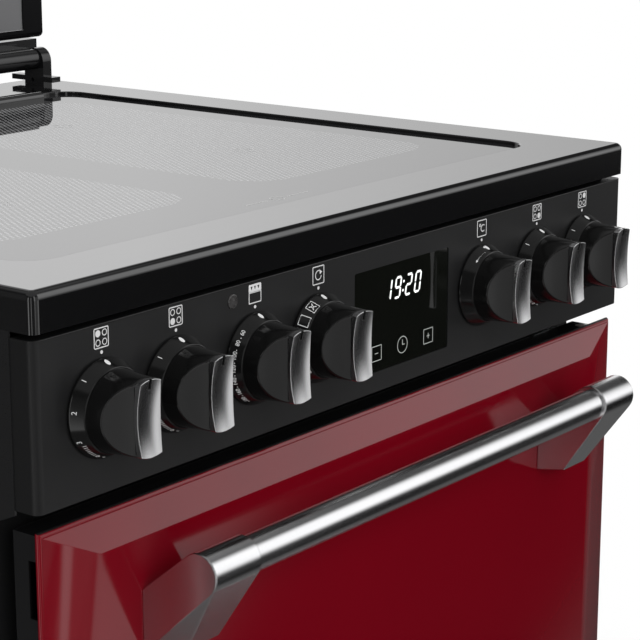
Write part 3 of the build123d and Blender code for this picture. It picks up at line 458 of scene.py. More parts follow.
def hob_glass(name, colour, pitch):
    """Black glass with a fine printed pattern of dots on its cooking zones."""
    f = Finish(name)
    x, y = f.axes()[:2]
    row = pitch * math.sqrt(3)

    def from_dot(shift):
        """The square of the distance to a grid of dots that is moved by a share of its steps."""
        u, v = x + pitch * shift, y + row * shift
        return u.sum("PINGPONG", u, pitch / 2) ** 2.0 + v.sum("PINGPONG", v, row / 2) ** 2.0

    def zone(middle, half_width):
        """1 inside a cooking zone and 0 outside."""
        dx = (abs(x - middle) - (half_width - ZONE_CORNER)).most(0.0)
        dy = (abs(y - ZONE_MIDDLE_Y) - (ZONE_HALF_LENGTH - ZONE_CORNER)).most(0.0)
        return ((dx ** 2.0 + dy ** 2.0).root() - ZONE_CORNER) < 0.0

    reach = from_dot(0.0).least(from_dot(0.5)).root()
    dot = ((pitch * 0.27 - reach) * (1 / (pitch * 0.06))).held()
    left, right = [zone(*place) for place in ZONES]
    mask = dot * left.most(right)
    return f.surface(
        Base_Color=f.blend(mask, rgba(colour), (0.42, 0.42, 0.43, 1)), Roughness=0.6, Specular_IOR_Level=0.0,
        Coat_Weight=1.0 - mask * 0.3, Coat_Roughness=0.02, Coat_IOR=1.5)


def tinted_glass(name, colour, roughness=0.02, strength=0.5):
    """Dark polished glass with faint wipe marks."""
    f = Finish(name)
    wipe = f.noise(30.0, 2.0, 0.5, (1.0, 1.0, 0.3))
    return f.surface(
        Base_Color=f.blend(wipe, rgba(colour, 0.9), rgba(colour, 1.1)),
        Roughness=wipe * 0.02 + roughness, IOR=1.5, Coat_Weight=strength, Coat_Roughness=0.02)


def polished_metal(name, colour, roughness, brush=None, depth=0.000002, uneven=0.08):
    """Polished or brushed metal. Brush stretches the fine lines along one axis."""
    f = Finish(name)
    lines = f.noise(900.0, 2.0, 0.6, brush or (1.0, 1.0, 1.0))
    cloud = f.noise(25.0, 2.0)
    return f.surface(
        Base_Color=f.blend(cloud, rgba(colour, 0.96), rgba(colour, 1.03)), Metallic=1.0,
        Roughness=(lines - 0.5) * uneven + (cloud - 0.5) * 0.03 + roughness,
        Normal=f.grain(lines, depth))


def moulded_plastic(name, colour, roughness):
    """Moulded plastic with a fine spark-eroded grain."""
    f = Finish(name)
    fine = f.noise(1800.0, 2.0, 0.6)
    wide = f.noise(40.0, 1.0)
    return f.surface(
        Base_Color=f.blend(wide, rgba(colour, 0.9), rgba(colour, 1.1)),
        Roughness=(fine - 0.5) * 0.1 + roughness, IOR=1.5, Normal=f.grain(fine, 0.000006))


def zinc_sheet(name, colour):
    """Galvanised sheet with its crystal spangle."""
    f = Finish(name)
    tone = f.cells(130.0)
    fine = f.noise(600.0, 2.0)
    return f.surface(
        Base_Color=f.blend(tone, rgba(colour, 0.8), rgba(colour)),
        Metallic=1.0, Roughness=tone * 0.14 + (fine - 0.5) * 0.08 + 0.38)


def speckled_enamel(name, colour):
    """Dark grey oven enamel with pale specks."""
    f = Finish(name)
    at = {"Vector": f.place(), "Scale": 260.0}
    cell = f.node("ShaderNodeTexVoronoi", {"feature": "F1"}, at, "Distance")
    speck = ((0.2 - cell) * 12.0).held()
    return f.surface(
        Base_Color=f.blend(speck, rgba(colour), (0.45, 0.45, 0.47, 1)),
        Roughness=(f.noise(20.0) - 0.5) * 0.06 + 0.18, IOR=1.5, Coat_Weight=0.6, Coat_Roughness=0.06)


def dull_rubber(name, colour):
    """Matt rubber or silicone with a faint bloom."""
    f = Finish(name)
    bloom = f.noise(120.0, 3.0)
    return f.surface(Base_Color=f.blend(bloom, rgba(colour), rgba(colour, 1.8)),
                     Roughness=(bloom - 0.5) * 0.1 + 0.72, Normal=f.grain(bloom, 0.00003))


def heat_stained_steel(name, colour):
    """Dark element sheath, stained by heat."""
    f = Finish(name)
    stain = f.noise(45.0, 3.0)
    return f.surface(Base_Color=f.blend(stain, rgba(colour), (0.30, 0.24, 0.19, 1)), Metallic=0.85,
                     Roughness=(stain - 0.5) * 0.2 + 0.45)


def wound_copper(name, colour):
    """Flat coil of stranded copper: fine rings about each coil's own middle."""
    f = Finish(name)
    x, y = f.axes()[:2]
    across, along = abs(x) - COIL_X, abs(y - COIL_MIDDLE_Y) - COIL_STEP_Y
    turns = (across ** 2.0 + along ** 2.0).root() * COIL_WAVE
    height = turns.sum("SINE", turns) * 0.5 + 0.5
    return f.surface(Base_Color=f.blend(height, (0.16, 0.06, 0.03, 1), rgba(colour)), Metallic=0.9,
                     Roughness=0.38 - height * 0.08, Normal=f.grain(height, 0.0003))


def circuit_board(name, colour):
    """Green board with tracks."""
    f = Finish(name)
    tracks = f.node("ShaderNodeTexBrick", {"offset": 0.37},
                    {"Vector": f.place(), "Scale": 60.0, "Mortar Size": 0.03, "Color1": rgba(colour),
                     "Color2": rgba(colour, 1.2), "Mortar": (0.35, 0.4, 0.12, 1)})
    return f.surface(Base_Color=tracks, Roughness=0.42)


def faceted_lens(name, colour):
    """Dark plastic lens with small facets behind its face."""
    f = Finish(name)
    tone = f.cells(520.0)
    return f.surface(Base_Color=f.blend(tone, rgba(colour), rgba(colour, 2.6)),
                     Roughness=tone * 0.2 + 0.12, IOR=1.5, Coat_Weight=0.6)


def print_ink(name, colour, glow=0.0):
    """Screen-printed ink with a faintly uneven edge of tone."""
    f = Finish(name)
    uneven = f.noise(700.0, 2.0)
    ink = f.blend(uneven, rgba(colour, 0.9), rgba(colour))
    return f.surface(
        Base_Color=ink, Roughness=uneven * 0.1 + 0.42, Emission_Color=ink, Emission_Strength=glow)


def cooker_finishes(colours, sizes):
    """Every finish by its slot's name in the record, and the lid frame's own darker one."""
    metal = colours.bare_metal
    return {
        "casing_enamel": satin_enamel("casing_enamel", [0.012, 0.012, 0.0125], 0.3),
        "hob_enamel": gloss_enamel("hob_enamel", colours.hob_black, ior=1.75),
        "hob_glass": hob_glass("hob_glass", [0.012, 0.012, 0.013], sizes.dot_pitch),
        "panel_enamel": satin_enamel("panel_enamel", colours.panel_black),
        "window_glass": tinted_glass("window_glass", [0.0045, 0.005, 0.004], 0.02, 0.0),
        "red_enamel": red_enamel("red_enamel", colours.door_red),
        "pan_enamel": gloss_enamel("pan_enamel", [0.006, 0.006, 0.0065], 0.03, 0.12),
        "bright_steel": polished_metal("bright_steel", metal, 0.22, (0.02, 1.0, 1.0)),
        "chrome": polished_metal("chrome", metal, 0.2),
        "satin_chrome": polished_metal(
            "satin_chrome", [0.72, 0.72, 0.73], 0.22, (1.0, 1.0, 0.04), depth=0.00000002, uneven=0.02),
        "knob_plastic": moulded_plastic("knob_plastic", colours.knob_black, 0.13),
        "oven_enamel": speckled_enamel("oven_enamel", [0.035, 0.035, 0.04]),
        "galvanised": zinc_sheet("galvanised", [0.5, 0.51, 0.52]),
        "seal_rubber": dull_rubber("seal_rubber", [0.03, 0.03, 0.03]),
        "element_steel": heat_stained_steel("element_steel", [0.12, 0.115, 0.11]),
        "copper": wound_copper("copper", [0.72, 0.33, 0.19]),
        "circuit_plastic": circuit_board("circuit_plastic", [0.03, 0.14, 0.06]),
        "black_plastic": moulded_plastic("black_plastic", [0.02, 0.02, 0.02], 0.5),
        "lens_plastic": faceted_lens("lens_plastic", [0.026, 0.025, 0.025]),
        "lamp_glass": tinted_glass("lamp_glass", [0.75, 0.75, 0.7], 0.1),
        "lid_enamel": gloss_enamel("lid_enamel", [0.008, 0.008, 0.0085], 0.03, 0.1),
        "lid_glass": tinted_glass("lid_glass", [0.16, 0.16, 0.165], 0.03, 1.0),
        "lid_border": gloss_enamel("lid_border", [0.004, 0.004, 0.0045], 0.02, 0.08, 1.22),
    }


# Meshes


def plain_mesh(holder):
    """The mesh that an object makes, with its modifiers applied. The object itself is removed."""
    bpy.context.scene.collection.objects.link(holder)
    bpy.context.view_layer.update()
    shown = holder.evaluated_get(bpy.context.evaluated_depsgraph_get())
    mesh = bpy.data.meshes.new_from_object(shown)
    holder.modifiers.clear()
    bpy.data.objects.remove(holder)
    return mesh


def finished_piece(name, mesh, body, material=None):
    """Adds a mesh as a piece that rides on a body."""
    piece = bpy.data.objects.new(name, mesh)
    bpy.context.scene.collection.objects.link(piece)
    if material is not None:
        piece.data.materials.clear()
        piece.data.materials.append(material)
    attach(piece, body)
    return piece


def slot_of(node):
    """The body and the material slot that the record gives a part."""
    record = frame["record"]
    body = next(name for name, nodes in record["behaviour"]["bodies"].items() if node in nodes)
    return body, next(part["material_slot"] for part in record["subparts"] if part["node"] == node)


def stand_in(node, mesh, materials=()):
    """Puts a mesh in the place of a part of the frame, with the part's own finish before any others."""
    body, slot = slot_of(node)
    marks = [face.material_index for face in mesh.polygons]
    piece = finished_piece(node + "_piece", mesh, body, frame["nodes"][node].data.materials[0])
    for material in materials:
        piece.data.materials.append(material)
    for face, mark in zip(piece.data.polygons, marks):
        face.material_index = mark
    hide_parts(node)
    return piece


def eased_mesh(name, shape, width, sharp):
    """The mesh of a shape whose edges over a sharp angle are rounded to a width in millimetres."""
    rough = bpy.data.meshes.new(name)
    shape.to_mesh(rough)
    shape.free()
    rough.shade_smooth()
    holder = bpy.data.objects.new("holder", rough)
    rounding = holder.modifiers.new("rounding", "BEVEL")
    rounding.width, rounding.segments = mm(width), EDGE_SEGMENTS
    rounding.limit_method, rounding.angle_limit = "ANGLE", math.radians(sharp)
    rounding.harden_normals = True
    made = plain_mesh(holder)
    bpy.data.meshes.remove(rough)
    made.name = name
    return made


def merged_copy(node):
    """A shape with the faces of a part of the frame, joined along their edges."""
    shape = bmesh.new()
    shape.from_mesh(frame["nodes"][node].data)
    bmesh.ops.remove_doubles(shape, verts=shape.verts, dist=0.000002)
    bmesh.ops.dissolve_limit(shape, angle_limit=math.radians(0.5), verts=shape.verts, edges=shape.edges)
    return shape


def rounded_path(corners):
    """A path through corners, each given as radius, depth and rounding, with a point held beside each arc."""
    path = []
    for i, (r, d, rounding) in enumerate(corners):
        if not rounding:
            path.append((r, d))
            continue
        ways = []
        for other in (corners[i - 1], corners[i + 1]):
            length = math.hypot(other[0] - r, other[1] - d)
            ways.append(((other[0] - r) / length, (other[1] - d) / length))
        path += bent((r, d), ways[0], ways[1], rounding)
    return path


def bent(corner, back, ahead, reach, steps=4):
    """An arc across a corner, between points that lie a reach away along two directions."""
    def at(near, far):
        return corner[0] + back[0] * near + ahead[0] * far, corner[1] + back[1] * near + ahead[1] * far

    shares = [i / steps for i in range(steps + 1)]
    arc = [at((1 - share) ** 2 * reach, share ** 2 * reach) for share in shares]
    return [at(reach * ARC_HOLD, 0.0), *arc, at(0.0, reach * ARC_HOLD)]


def on_circle(radius, angle, centre=(0.0, 0.0)):
    """The point of a circle at an angle in radians."""
    return centre[0] + radius * math.cos(angle), centre[1] + radius * math.sin(angle)


def on_knob(knob_x, radius, depth, angle):
    """The point at a radius and depth in millimetres, at an angle from the knob's top towards the left."""
    aside, above = mm(radius) * math.sin(angle), mm(radius) * math.cos(angle)
    return Vector((knob_x - aside, KNOB_BACK_Y - mm(depth), KNOB_Z + above))


def knob_face_depth(x):
    """How far the knob's scooped face stands in front of its back, at a distance from its middle plane."""
    beyond = max(0.0, abs(x) - SCOOP_IN)
    share = min(1.0, beyond / (SCOOP_OUT - SCOOP_IN))
    return FACE_DEPTH - SCOOP_FALL * share - SCOOP_SAG * 4.0 * share * (1.0 - share)


def knob_outline(angle):
    """A knob's closed section at an angle from its top, as radii and depths, and the steps of its scoop."""
    taper = (BODY_BACK_R - BODY_FRONT_R) / (FACE_DEPTH - SKIRT_FRONT[1])
    lean = abs(math.sin(angle))
    rim = BODY_FRONT_R
    for _ in range(8):
        rim = BODY_BACK_R - taper * (knob_face_depth(rim * lean) - SKIRT_FRONT[1])
    depth = knob_face_depth(rim * lean)
    section = rounded_path([
        (BORE_R, FACE_DEPTH, 0), (BORE_R, 0.0, 0), (HUB_R, 0.0, 0), (HUB_R, CUP_DEPTH, 0),
        (CUP_R, CUP_DEPTH, 0), (CUP_R, 0.0, 0), (SKIRT_BACK[0], 0.0, 0.35), (*SKIRT_BACK, 0.5),
        (*SKIRT_FRONT, 0.45), (BODY_BACK_R, SKIRT_FRONT[1], 0)])
    inside = rim - RIM_ROUND
    fall = (knob_face_depth(inside * lean) - depth) / RIM_ROUND
    first = len(section) + 4
    section += bent((rim, depth), (taper, -1.0), (-1.0, fall), RIM_ROUND)
    start = section[-1][0]
    crease = min(start - 0.4, SCOOP_IN / max(lean, 0.001))
    for share in (0.2, 0.4, 0.6, 0.8, 0.93, 1.0):
        r = start + (crease - start) * share
        section.append((r, knob_face_depth(r * lean)))
    last = len(section) - 1
    section.append((BORE_R + (crease - BORE_R) * 0.4, FACE_DEPTH))
    return section, range(first, last)


def knob_body(knob_x, name, count=144):
    """The knob's skirt and body, with the two scoops beside its grip marked for their own lighter material:
    painted light, as the lamp falls on them more.
    """
    shape = bmesh.new()
    rows = []
    for i in range(count):
        angle = 2 * math.pi * i / count
        section, scoop = knob_outline(angle)
        rows.append([shape.verts.new(on_knob(knob_x, r, depth, angle)) for r, depth in section])
    for a, b in zip(rows, rows[1:] + rows[:1]):
        for k in range(len(a)):
            after = (k + 1) % len(a)
            face = shape.faces.new([a[k], a[after], b[after], b[k]])
            face.material_index = 1 if k in scoop else 0
    bmesh.ops.recalc_face_normals(shape, faces=shape.faces)
    mesh = bpy.data.meshes.new(name)
    shape.to_mesh(mesh)
    shape.free()
    mesh.shade_smooth()
    mesh.set_sharp_from_angle(angle=math.radians(38))
    return mesh


def grip_front(x, z):
    """Depth of the grip's dished front, from places in millimetres."""
    hollow, dish = GRIP_HOLLOW * (1.0 - (z / BODY_FRONT_R) ** 2), GRIP_DISH * (1.0 - (x / GRIP_HALF) ** 2)
    return GRIP_DEPTH - hollow - dish


def knob_grip(knob_x, name):
    """The metal grip: a barrel-sided bar with a dished front, a groove at its top with painted shade, and a
    stem.
    """
    shape = bmesh.new()
    side = GROOVE_HALF / GRIP_HALF
    lowest = 1.0 - GROOVE_LENGTH / BODY_FRONT_R
    columns = [-1.0, -0.8, -0.55, -0.3, -side, side, 0.3, 0.55, 0.8, 1.0]
    rows = [-1.0, -0.9, -0.75, -0.55, -0.3, 0.0, 0.3, 0.55, lowest, 0.9, 1.0]
    left, right = columns.index(-side), columns.index(side)
    first, last = rows.index(lowest), len(rows) - 1

    def corner(column, row, depth=None, sink=0.0):
        end_x = column * (GRIP_HALF - GRIP_WAIST)
        z = row * math.sqrt(BODY_FRONT_R ** 2 - end_x ** 2)
        in_groove = abs(column) <= side
        x = column * (GRIP_HALF if in_groove else GRIP_HALF - GRIP_WAIST * row ** 2)
        depth = grip_front(x, z) - sink if depth is None else depth
        return shape.verts.new((knob_x + mm(x), KNOB_BACK_Y - mm(depth), KNOB_Z + mm(z)))

    # Faces marked dark take the groove's painted shade.
    def face(*corners, dark=False):
        shape.faces.new(corners).material_index = 1 if dark else 0

    front = [[corner(column, row) for column in columns] for row in rows]
    back = [[corner(column, row, FACE_DEPTH) for column in columns] for row in rows]
    floor = {i: [corner(columns[k], rows[i], sink=GROOVE_DEPTH) for k in (left, right)]
             for i in range(first, last + 1)}
    for i in range(last):
        for k in range(len(columns) - 1):
            face(back[i][k], back[i][k + 1], back[i + 1][k + 1], back[i + 1][k])
            if k == left and i >= first:
                face(*floor[i], *reversed(floor[i + 1]), dark=True)
                for end, column in enumerate((left, right)):
                    face(front[i][column], floor[i][end], floor[i + 1][end], front[i + 1][column], dark=True)
            else:
                face(front[i][k], front[i][k + 1], front[i + 1][k + 1], front[i + 1][k])
        for k in (0, -1):
            face(back[i][k], front[i][k], front[i + 1][k], back[i + 1][k])
    face(front[first][left], front[first][right], floor[first][1], floor[first][0], dark=True)
    for k in range(len(columns) - 1):
        face(back[0][k], back[0][k + 1], front[0][k + 1], front[0][k])
        start, end = [front[-1][k]], [front[-1][k + 1]]
        if k == left:
            start, end = [floor[last][0]], [floor[last][1]]
        elif k == left - 1:
            end = [floor[last][0], front[-1][left]]
        elif k == right:
            start = [front[-1][right], floor[last][1]]
        face(back[-1][k], back[-1][k + 1], *end, *start)

    circle = ring(STEM_R, count=STEM_SIDES)
    stem_y = KNOB_BACK_Y - mm(FACE_DEPTH + STEM_SINK)
    near = [shape.verts.new((knob_x + mm(u), stem_y, KNOB_Z + mm(v))) for u, v in circle]
    far = [shape.verts.new((knob_x + mm(u), STEM_END_Y, KNOB_Z + mm(v))) for u, v in circle]
    face(*near)
    face(*reversed(far))
    for i in range(STEM_SIDES):
        j = (i + 1) % STEM_SIDES
        face(near[i], far[i], far[j], near[j])
    bmesh.ops.recalc_face_normals(shape, faces=shape.faces)
    mesh = eased_mesh(name, shape, 0.45, 32.0)
    paint_groove_shade(mesh, knob_x)
    return mesh


def paint_groove_shade(mesh, knob_x):
    """Paints shade on the groove and its rounded edges by giving them the dark material."""
    beside, below, behind = GROOVE_SHADE_MARGIN
    for face in mesh.polygons:
        across, above = abs(face.center.x - knob_x), face.center.z - KNOB_Z
        in_width = across < mm(GROOVE_HALF + beside)
        in_length = above > mm(BODY_FRONT_R - GROOVE_LENGTH - below)
        if in_width and in_length and KNOB_BACK_Y - face.center.y > mm(GRIP_DEPTH - behind):
            face.material_index = 1


def touch_angle(axis, radius, point, side):
    """The angle at which a line from a point touches a circle, on one side of it or the other."""
    dy, dz = point[0] - axis[0], point[1] - axis[1]
    return math.atan2(dz, dy) + side * math.acos(radius / math.hypot(dy, dz))


def handle_end_section(door, steps=40):
    """A handle end's outline from its side, as Y and Z in metres, from the collar's top round to the door."""
    bar_low, bar_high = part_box(door + "_handle_bar")
    low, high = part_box(door + "_handle_ends")
    axis = ((bar_low.y + bar_high.y) / 2, (bar_low.z + bar_high.z) / 2)
    radius = axis[0] - low.y
    foot_top, foot_bottom = (high.y, axis[1] - mm(FOOT_TOP_DROP)), (high.y, low.z)
    chin = (foot_bottom[0] - mm(CHIN_OUT), foot_bottom[1] + mm(CHIN_RISE))
    start, end = touch_angle(axis, radius, foot_top, 1), touch_angle(axis, radius, chin, -1) + 2 * math.pi
    arc = [on_circle(radius, start + (end - start) * i / steps, axis) for i in range(steps + 1)]
    return arc + [chin, foot_bottom, foot_top], axis, radius


def handle_ends(door):
    """Both ends of a door's handle: a collar carried by a wedge, with its outer lower corner cut away."""
    outline, axis, radius = handle_end_section(door)
    inner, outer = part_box(door + "_handle_bar")[1].x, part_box(door + "_handle_ends")[1].x
    chin, foot = outline[-3], outline[-2]
    touch = on_circle(radius, touch_angle(axis, radius, foot, -1), axis)
    shape = bmesh.new()
    for side in (1, -1):
        near = [shape.verts.new((side * inner, y, z)) for y, z in outline]
        far = [shape.verts.new((side * outer, y, z)) for y, z in outline]
        faces = [shape.faces.new(near), shape.faces.new(far)]
        for i in range(len(outline)):
            j = (i + 1) % len(outline)
            faces.append(shape.faces.new([near[i], near[j], far[j], far[i]]))
        edges = list(dict.fromkeys(edge for face in faces for edge in face.edges))
        on_cut = Vector((side * outer, *touch))
        to_foot = Vector((side * outer, *foot)) - on_cut
        to_chin = Vector((side * (outer - mm(CHIN_CUT)), *chin)) - on_cut
        outwards = to_foot.cross(to_chin).normalized()
        if outwards.dot(Vector((side * outer, chin[0], chin[1] - 0.01)) - on_cut) < 0:
            outwards = -outwards
        found = bmesh.ops.bisect_plane(shape, geom=faces + edges + near + far, dist=0.000001, plane_co=on_cut,
                                       plane_no=outwards, clear_outer=True)
        rim = [item for item in found["geom_cut"] if isinstance(item, bmesh.types.BMEdge)]
        bmesh.ops.edgenet_fill(shape, edges=rim)
    bmesh.ops.recalc_face_normals(shape, faces=shape.faces)
    return eased_mesh(door + "_handle_ends_rounded", shape, 0.8, 28.0)


def flat_mesh(data):
    """The filled mesh of a flat curve or text, as points and faces."""
    mesh = plain_mesh(bpy.data.objects.new("holder", data))
    points = [(v.co.x, v.co.y) for v in mesh.vertices]
    faces = [tuple(p.vertices) for p in mesh.polygons]
    bpy.data.meshes.remove(mesh)
    return points, faces


def filled(loops):
    """Fills closed outlines in millimetres. A loop inside another is a hole."""
    data = bpy.data.curves.new("outline", "CURVE")
    data.dimensions = "2D"
    data.fill_mode = "BOTH"
    for loop in loops:
        spline = data.splines.new("POLY")
        spline.points.add(len(loop) - 1)
        for point, (u, v) in zip(spline.points, loop):
            point.co = (u, v, 0, 1)
        spline.use_cyclic_u = True
    shape = flat_mesh(data)
    bpy.data.curves.remove(data)
    return shape


def lettering(text, height):
    """Figures in millimetres, centred on their own middle."""
    data = bpy.data.curves.new("figures", "FONT")
    data.body = text
    data.size = height * 1.38
    data.resolution_u = 4
    shape = flat_mesh(data)
    bpy.data.curves.remove(data)
    points, faces = shape
    us, vs = [p[0] for p in points], [p[1] for p in points]
    cu, cv = (min(us) + max(us)) / 2, (min(vs) + max(vs)) / 2
    return [(u - cu, v - cv) for u, v in points], faces


def square(half_u, half_v, corner, centre=(0.0, 0.0)):
    """A rectangle's outline with round corners."""
    loop = []
    for i, (su, sv) in enumerate(((1, -1), (1, 1), (-1, 1), (-1, -1))):
        middle = (centre[0] + su * (half_u - corner), centre[1] + sv * (half_v - corner))
        loop += [on_circle(corner, math.radians(-90 + 90 * i + 22.5 * k), middle) for k in range(5)]
    return loop


def ring(radius, centre=(0.0, 0.0), count=24):
    """A circle's outline."""
    return [on_circle(radius, 2 * math.pi * i / count, centre) for i in range(count)]


def ring_line(radius, line, centre=(0.0, 0.0), count=24):
    """The two loops of a circle drawn with a line."""
    return [ring(radius, centre, count), ring(radius - line, centre, count)]


def frame_line(half_u, half_v, line, corner, centre=(0.0, 0.0)):
    """The two loops of a rectangle drawn with a line."""
    inner = max(corner - line, 0.15)
    return [square(half_u, half_v, corner, centre), square(half_u - line, half_v - line, inner, centre)]


def arc_line(radius, start, end, line, steps=20):
    """A bent bar between two angles in degrees."""
    angles = [math.radians(start + (end - start) * i / steps) for i in range(steps + 1)]
    outer = [on_circle(radius + line / 2, angle) for angle in angles]
    return outer + [on_circle(radius - line / 2, angle) for angle in reversed(angles)]


def ruled(start, end, line, steps=10):
    """A straight bar with points all along it, for a bent surface."""
    du, dv = end[0] - start[0], end[1] - start[1]
    length = math.hypot(du, dv)
    nu, nv = -dv / length * line / 2, du / length * line / 2
    run = [(start[0] + du * i / steps, start[1] + dv * i / steps) for i in range(steps + 1)]
    return [(u - nu, v - nv) for u, v in run] + [(u + nu, v + nv) for u, v in reversed(run)]


def bar(start, end, line):
    """A straight bar between two points."""
    return ruled(start, end, line, 1)


def ruled_square(half, line):
    """The four sides of a square as ruled bars."""
    corners = [(-half, -half), (half, -half), (half, half), (-half, half)]
    return [ruled(a, b, line) for a, b in zip(corners, corners[1:] + corners[:1])]


class Print:
    """Marks laid on one surface. Each is drawn flat in millimetres and put in place by a function."""

    def __init__(self, thickness):
        self.thickness = thickness
        self.mesh = bmesh.new()

    def lay(self, shape, place, move=(0.0, 0.0)):
        """Adds a flat shape as a thin closed plate. A face that the fill gives twice is taken once."""
        points, faces = shape
        faces = list({frozenset(face): face for face in faces}.values())
        lower = [self.mesh.verts.new(place(u + move[0], v + move[1], 0.0)) for u, v in points]
        upper = [self.mesh.verts.new(place(u + move[0], v + move[1], self.thickness)) for u, v in points]
        for face in faces:
            self.mesh.faces.new([upper[i] for i in face])
            self.mesh.faces.new([lower[i] for i in reversed(face)])
        edges = dict.fromkeys(edge for face in faces for edge in zip(face, face[1:] + face[:1]))
        for a, b in edges:
            if (b, a) not in edges:
                self.mesh.faces.new([lower[a], lower[b], upper[b], upper[a]])

    def draw(self, loops, place, move=(0.0, 0.0)):
        self.lay(filled(loops), place, move)

    def finish(self, name):
        bmesh.ops.recalc_face_normals(self.mesh, faces=self.mesh.faces)
        made = bpy.data.meshes.new(name)
        self.mesh.to_mesh(made)
        self.mesh.free()
        return made


def upright_place(x, y, z):
    """Lays marks on a face that looks to the front, from a point in metres: u to the right and v up."""
    return lambda u, v, h: Vector((x + mm(u), y - h, z + mm(v)))


def level_place(x, y, z):
    """Lays marks on a face that looks up, from a point in metres: u to the right and v to the back."""
    return lambda u, v, h: Vector((x + mm(u), y + mm(v), z + h))


def skirt_place(knob_x, degrees, along_rim=False):
    """Lays marks on a knob's skirt at an angle from its top, counted towards the left.

    Across the rim, u runs to the front and v to the top. Along it, u runs to the top and v to the panel."""
    (r0, d0), (r1, d1) = SKIRT_BACK, SKIRT_FRONT
    slant = math.hypot(r1 - r0, d1 - d0)
    dr, dd = (r1 - r0) / slant, (d1 - d0) / slant
    middle_r, middle_d = (r0 + r1) / 2, (d0 + d1) / 2

    def place(u, v, h):
        s, t = (-v, u) if along_rim else (u, v)
        radius = middle_r + s * dr
        angle = math.radians(degrees) - t / radius
        lift = h * 1000
        return on_knob(knob_x, radius + lift * dd, middle_d + s * dd - lift * dr, angle)

    return place


# What the icons show


def four_rings(size, line, filled_ring):
    """The hob's four zones, with the one that the knob works filled."""
    half = size / 2
    marks = [frame_line(half, half, line, 1.0)]
    step, radius = half * 0.45, half * 0.34
    for i, (su, sv) in enumerate(((-1, 1), (1, 1), (-1, -1), (1, -1))):
        centre = (su * step, sv * step)
        loops = [ring(radius, centre)]
        if i != filled_ring:
            loops.append(ring(radius - line * 0.85, centre))
        marks.append(loops)
    return marks


def grill_icon(size, line):
    """An oven with its grill: three small heat marks in a white head."""
    half = size / 2
    head = square(half, half * 0.42, 0.8, (0.0, half * 0.58))
    cuts = []
    for i in (-1, 0, 1):
        u = i * half * 0.55
        cuts.append([(u - half * 0.17, half * 0.78), (u + half * 0.17, half * 0.78), (u, half * 0.40)])
    middle = (0.0, -half * 0.4)
    body = [square(half, half * 0.6, 0.4, middle), square(half - line, half * 0.6 - line, 0.2, middle)]
    return [[head] + cuts, body]


def timer_icon(size, line):
    """An arrow that runs round in a frame."""
    half = size / 2
    radius = half * 0.5
    u, v = on_circle(radius, math.radians(38))
    head = [(u + 1.5, v - 0.2), (u - 1.1, v + 1.5), (u - 0.8, v - 1.5)]
    return [frame_line(half, half, line, ICON_CORNER), [arc_line(radius, 60, 350, line)], [head]]


# The lit bars of each clock figure: a to f run clockwise from the top, and g lies across the middle
LIT_BARS = {
    "0": "abcdef", "1": "bc", "2": "abged", "3": "abgcd", "4": "fgbc",
    "5": "afgcd", "6": "afgedc", "7": "abc", "8": "abcdefg", "9": "abcdfg"}


def seven_segments(figure, width, height, line):
    """The lit bars of one clock figure, upright, with its corner at the origin."""
    half, gap = line / 2, line * 0.12
    top, middle, low = height - half, height / 2, half
    left, right = half, width - half
    ends = {
        "a": ((left, top), (right, top)), "b": ((right, middle), (right, top)),
        "c": ((right, low), (right, middle)), "d": ((left, low), (right, low)),
        "e": ((left, low), (left, middle)), "f": ((left, middle), (left, top)),
        "g": ((left, middle), (right, middle)),
    }
    bars = []
    for key in LIT_BARS[figure]:
        (u0, v0), (u1, v1) = ends[key]
        if u0 == u1:
            v0, v1 = v0 + gap, v1 - gap
            bars.append([(u0, v0), (u0 + half, v0 + half), (u0 + half, v1 - half),
                         (u0, v1), (u0 - half, v1 - half), (u0 - half, v0 + half)])
        else:
            u0, u1 = u0 + gap, u1 - gap
            bars.append([(u0, v0), (u0 + half, v0 - half), (u1 - half, v0 - half),
                         (u1, v0), (u1 - half, v0 + half), (u0 + half, v0 + half)])
    return bars


# Trees that repeat a shape


def repeat_mesh(name, tree, values):
    """Runs a node tree on an empty mesh and returns the plain mesh it makes."""
    holder = bpy.data.objects.new(name, bpy.data.meshes.new(name))
    modifier = holder.modifiers.new("repeat", "NODES")
    modifier.node_group = tree
    named = {item.name: item.identifier for item in tree.interface.items_tree if item.in_out == "INPUT"}
    for key, value in values.items():
        modifier[named[key]] = value
    return plain_mesh(holder)


def new_tree(name, inputs):
    """A geometry tree with named inputs, as the bench and the wires of its inputs."""
    tree = bpy.data.node_groups.new(name, "GeometryNodeTree")
    tree.interface.new_socket("Geometry", in_out="OUTPUT", socket_type="NodeSocketGeometry")
    for key, kind, default in inputs:
        made = tree.interface.new_socket(key, in_out="INPUT", socket_type=kind)
        if default is not None:
            made.default_value = default
    bench = Bench(tree)
    source = tree.nodes.new("NodeGroupInput")
    return bench, {key: Wire(bench, source.outputs[key]) for key, kind, default in inputs}


def end_tree(bench, geometry, material):
    """Realises the copies, gives them their material and ends the tree."""
    solid = bench.node("GeometryNodeRealizeInstances", inputs={0: geometry})
    painted = bench.node("GeometryNodeSetMaterial", inputs={"Geometry": solid, "Material": material})
    bench.node("NodeGroupOutput", inputs={0: painted})
    return bench.tree


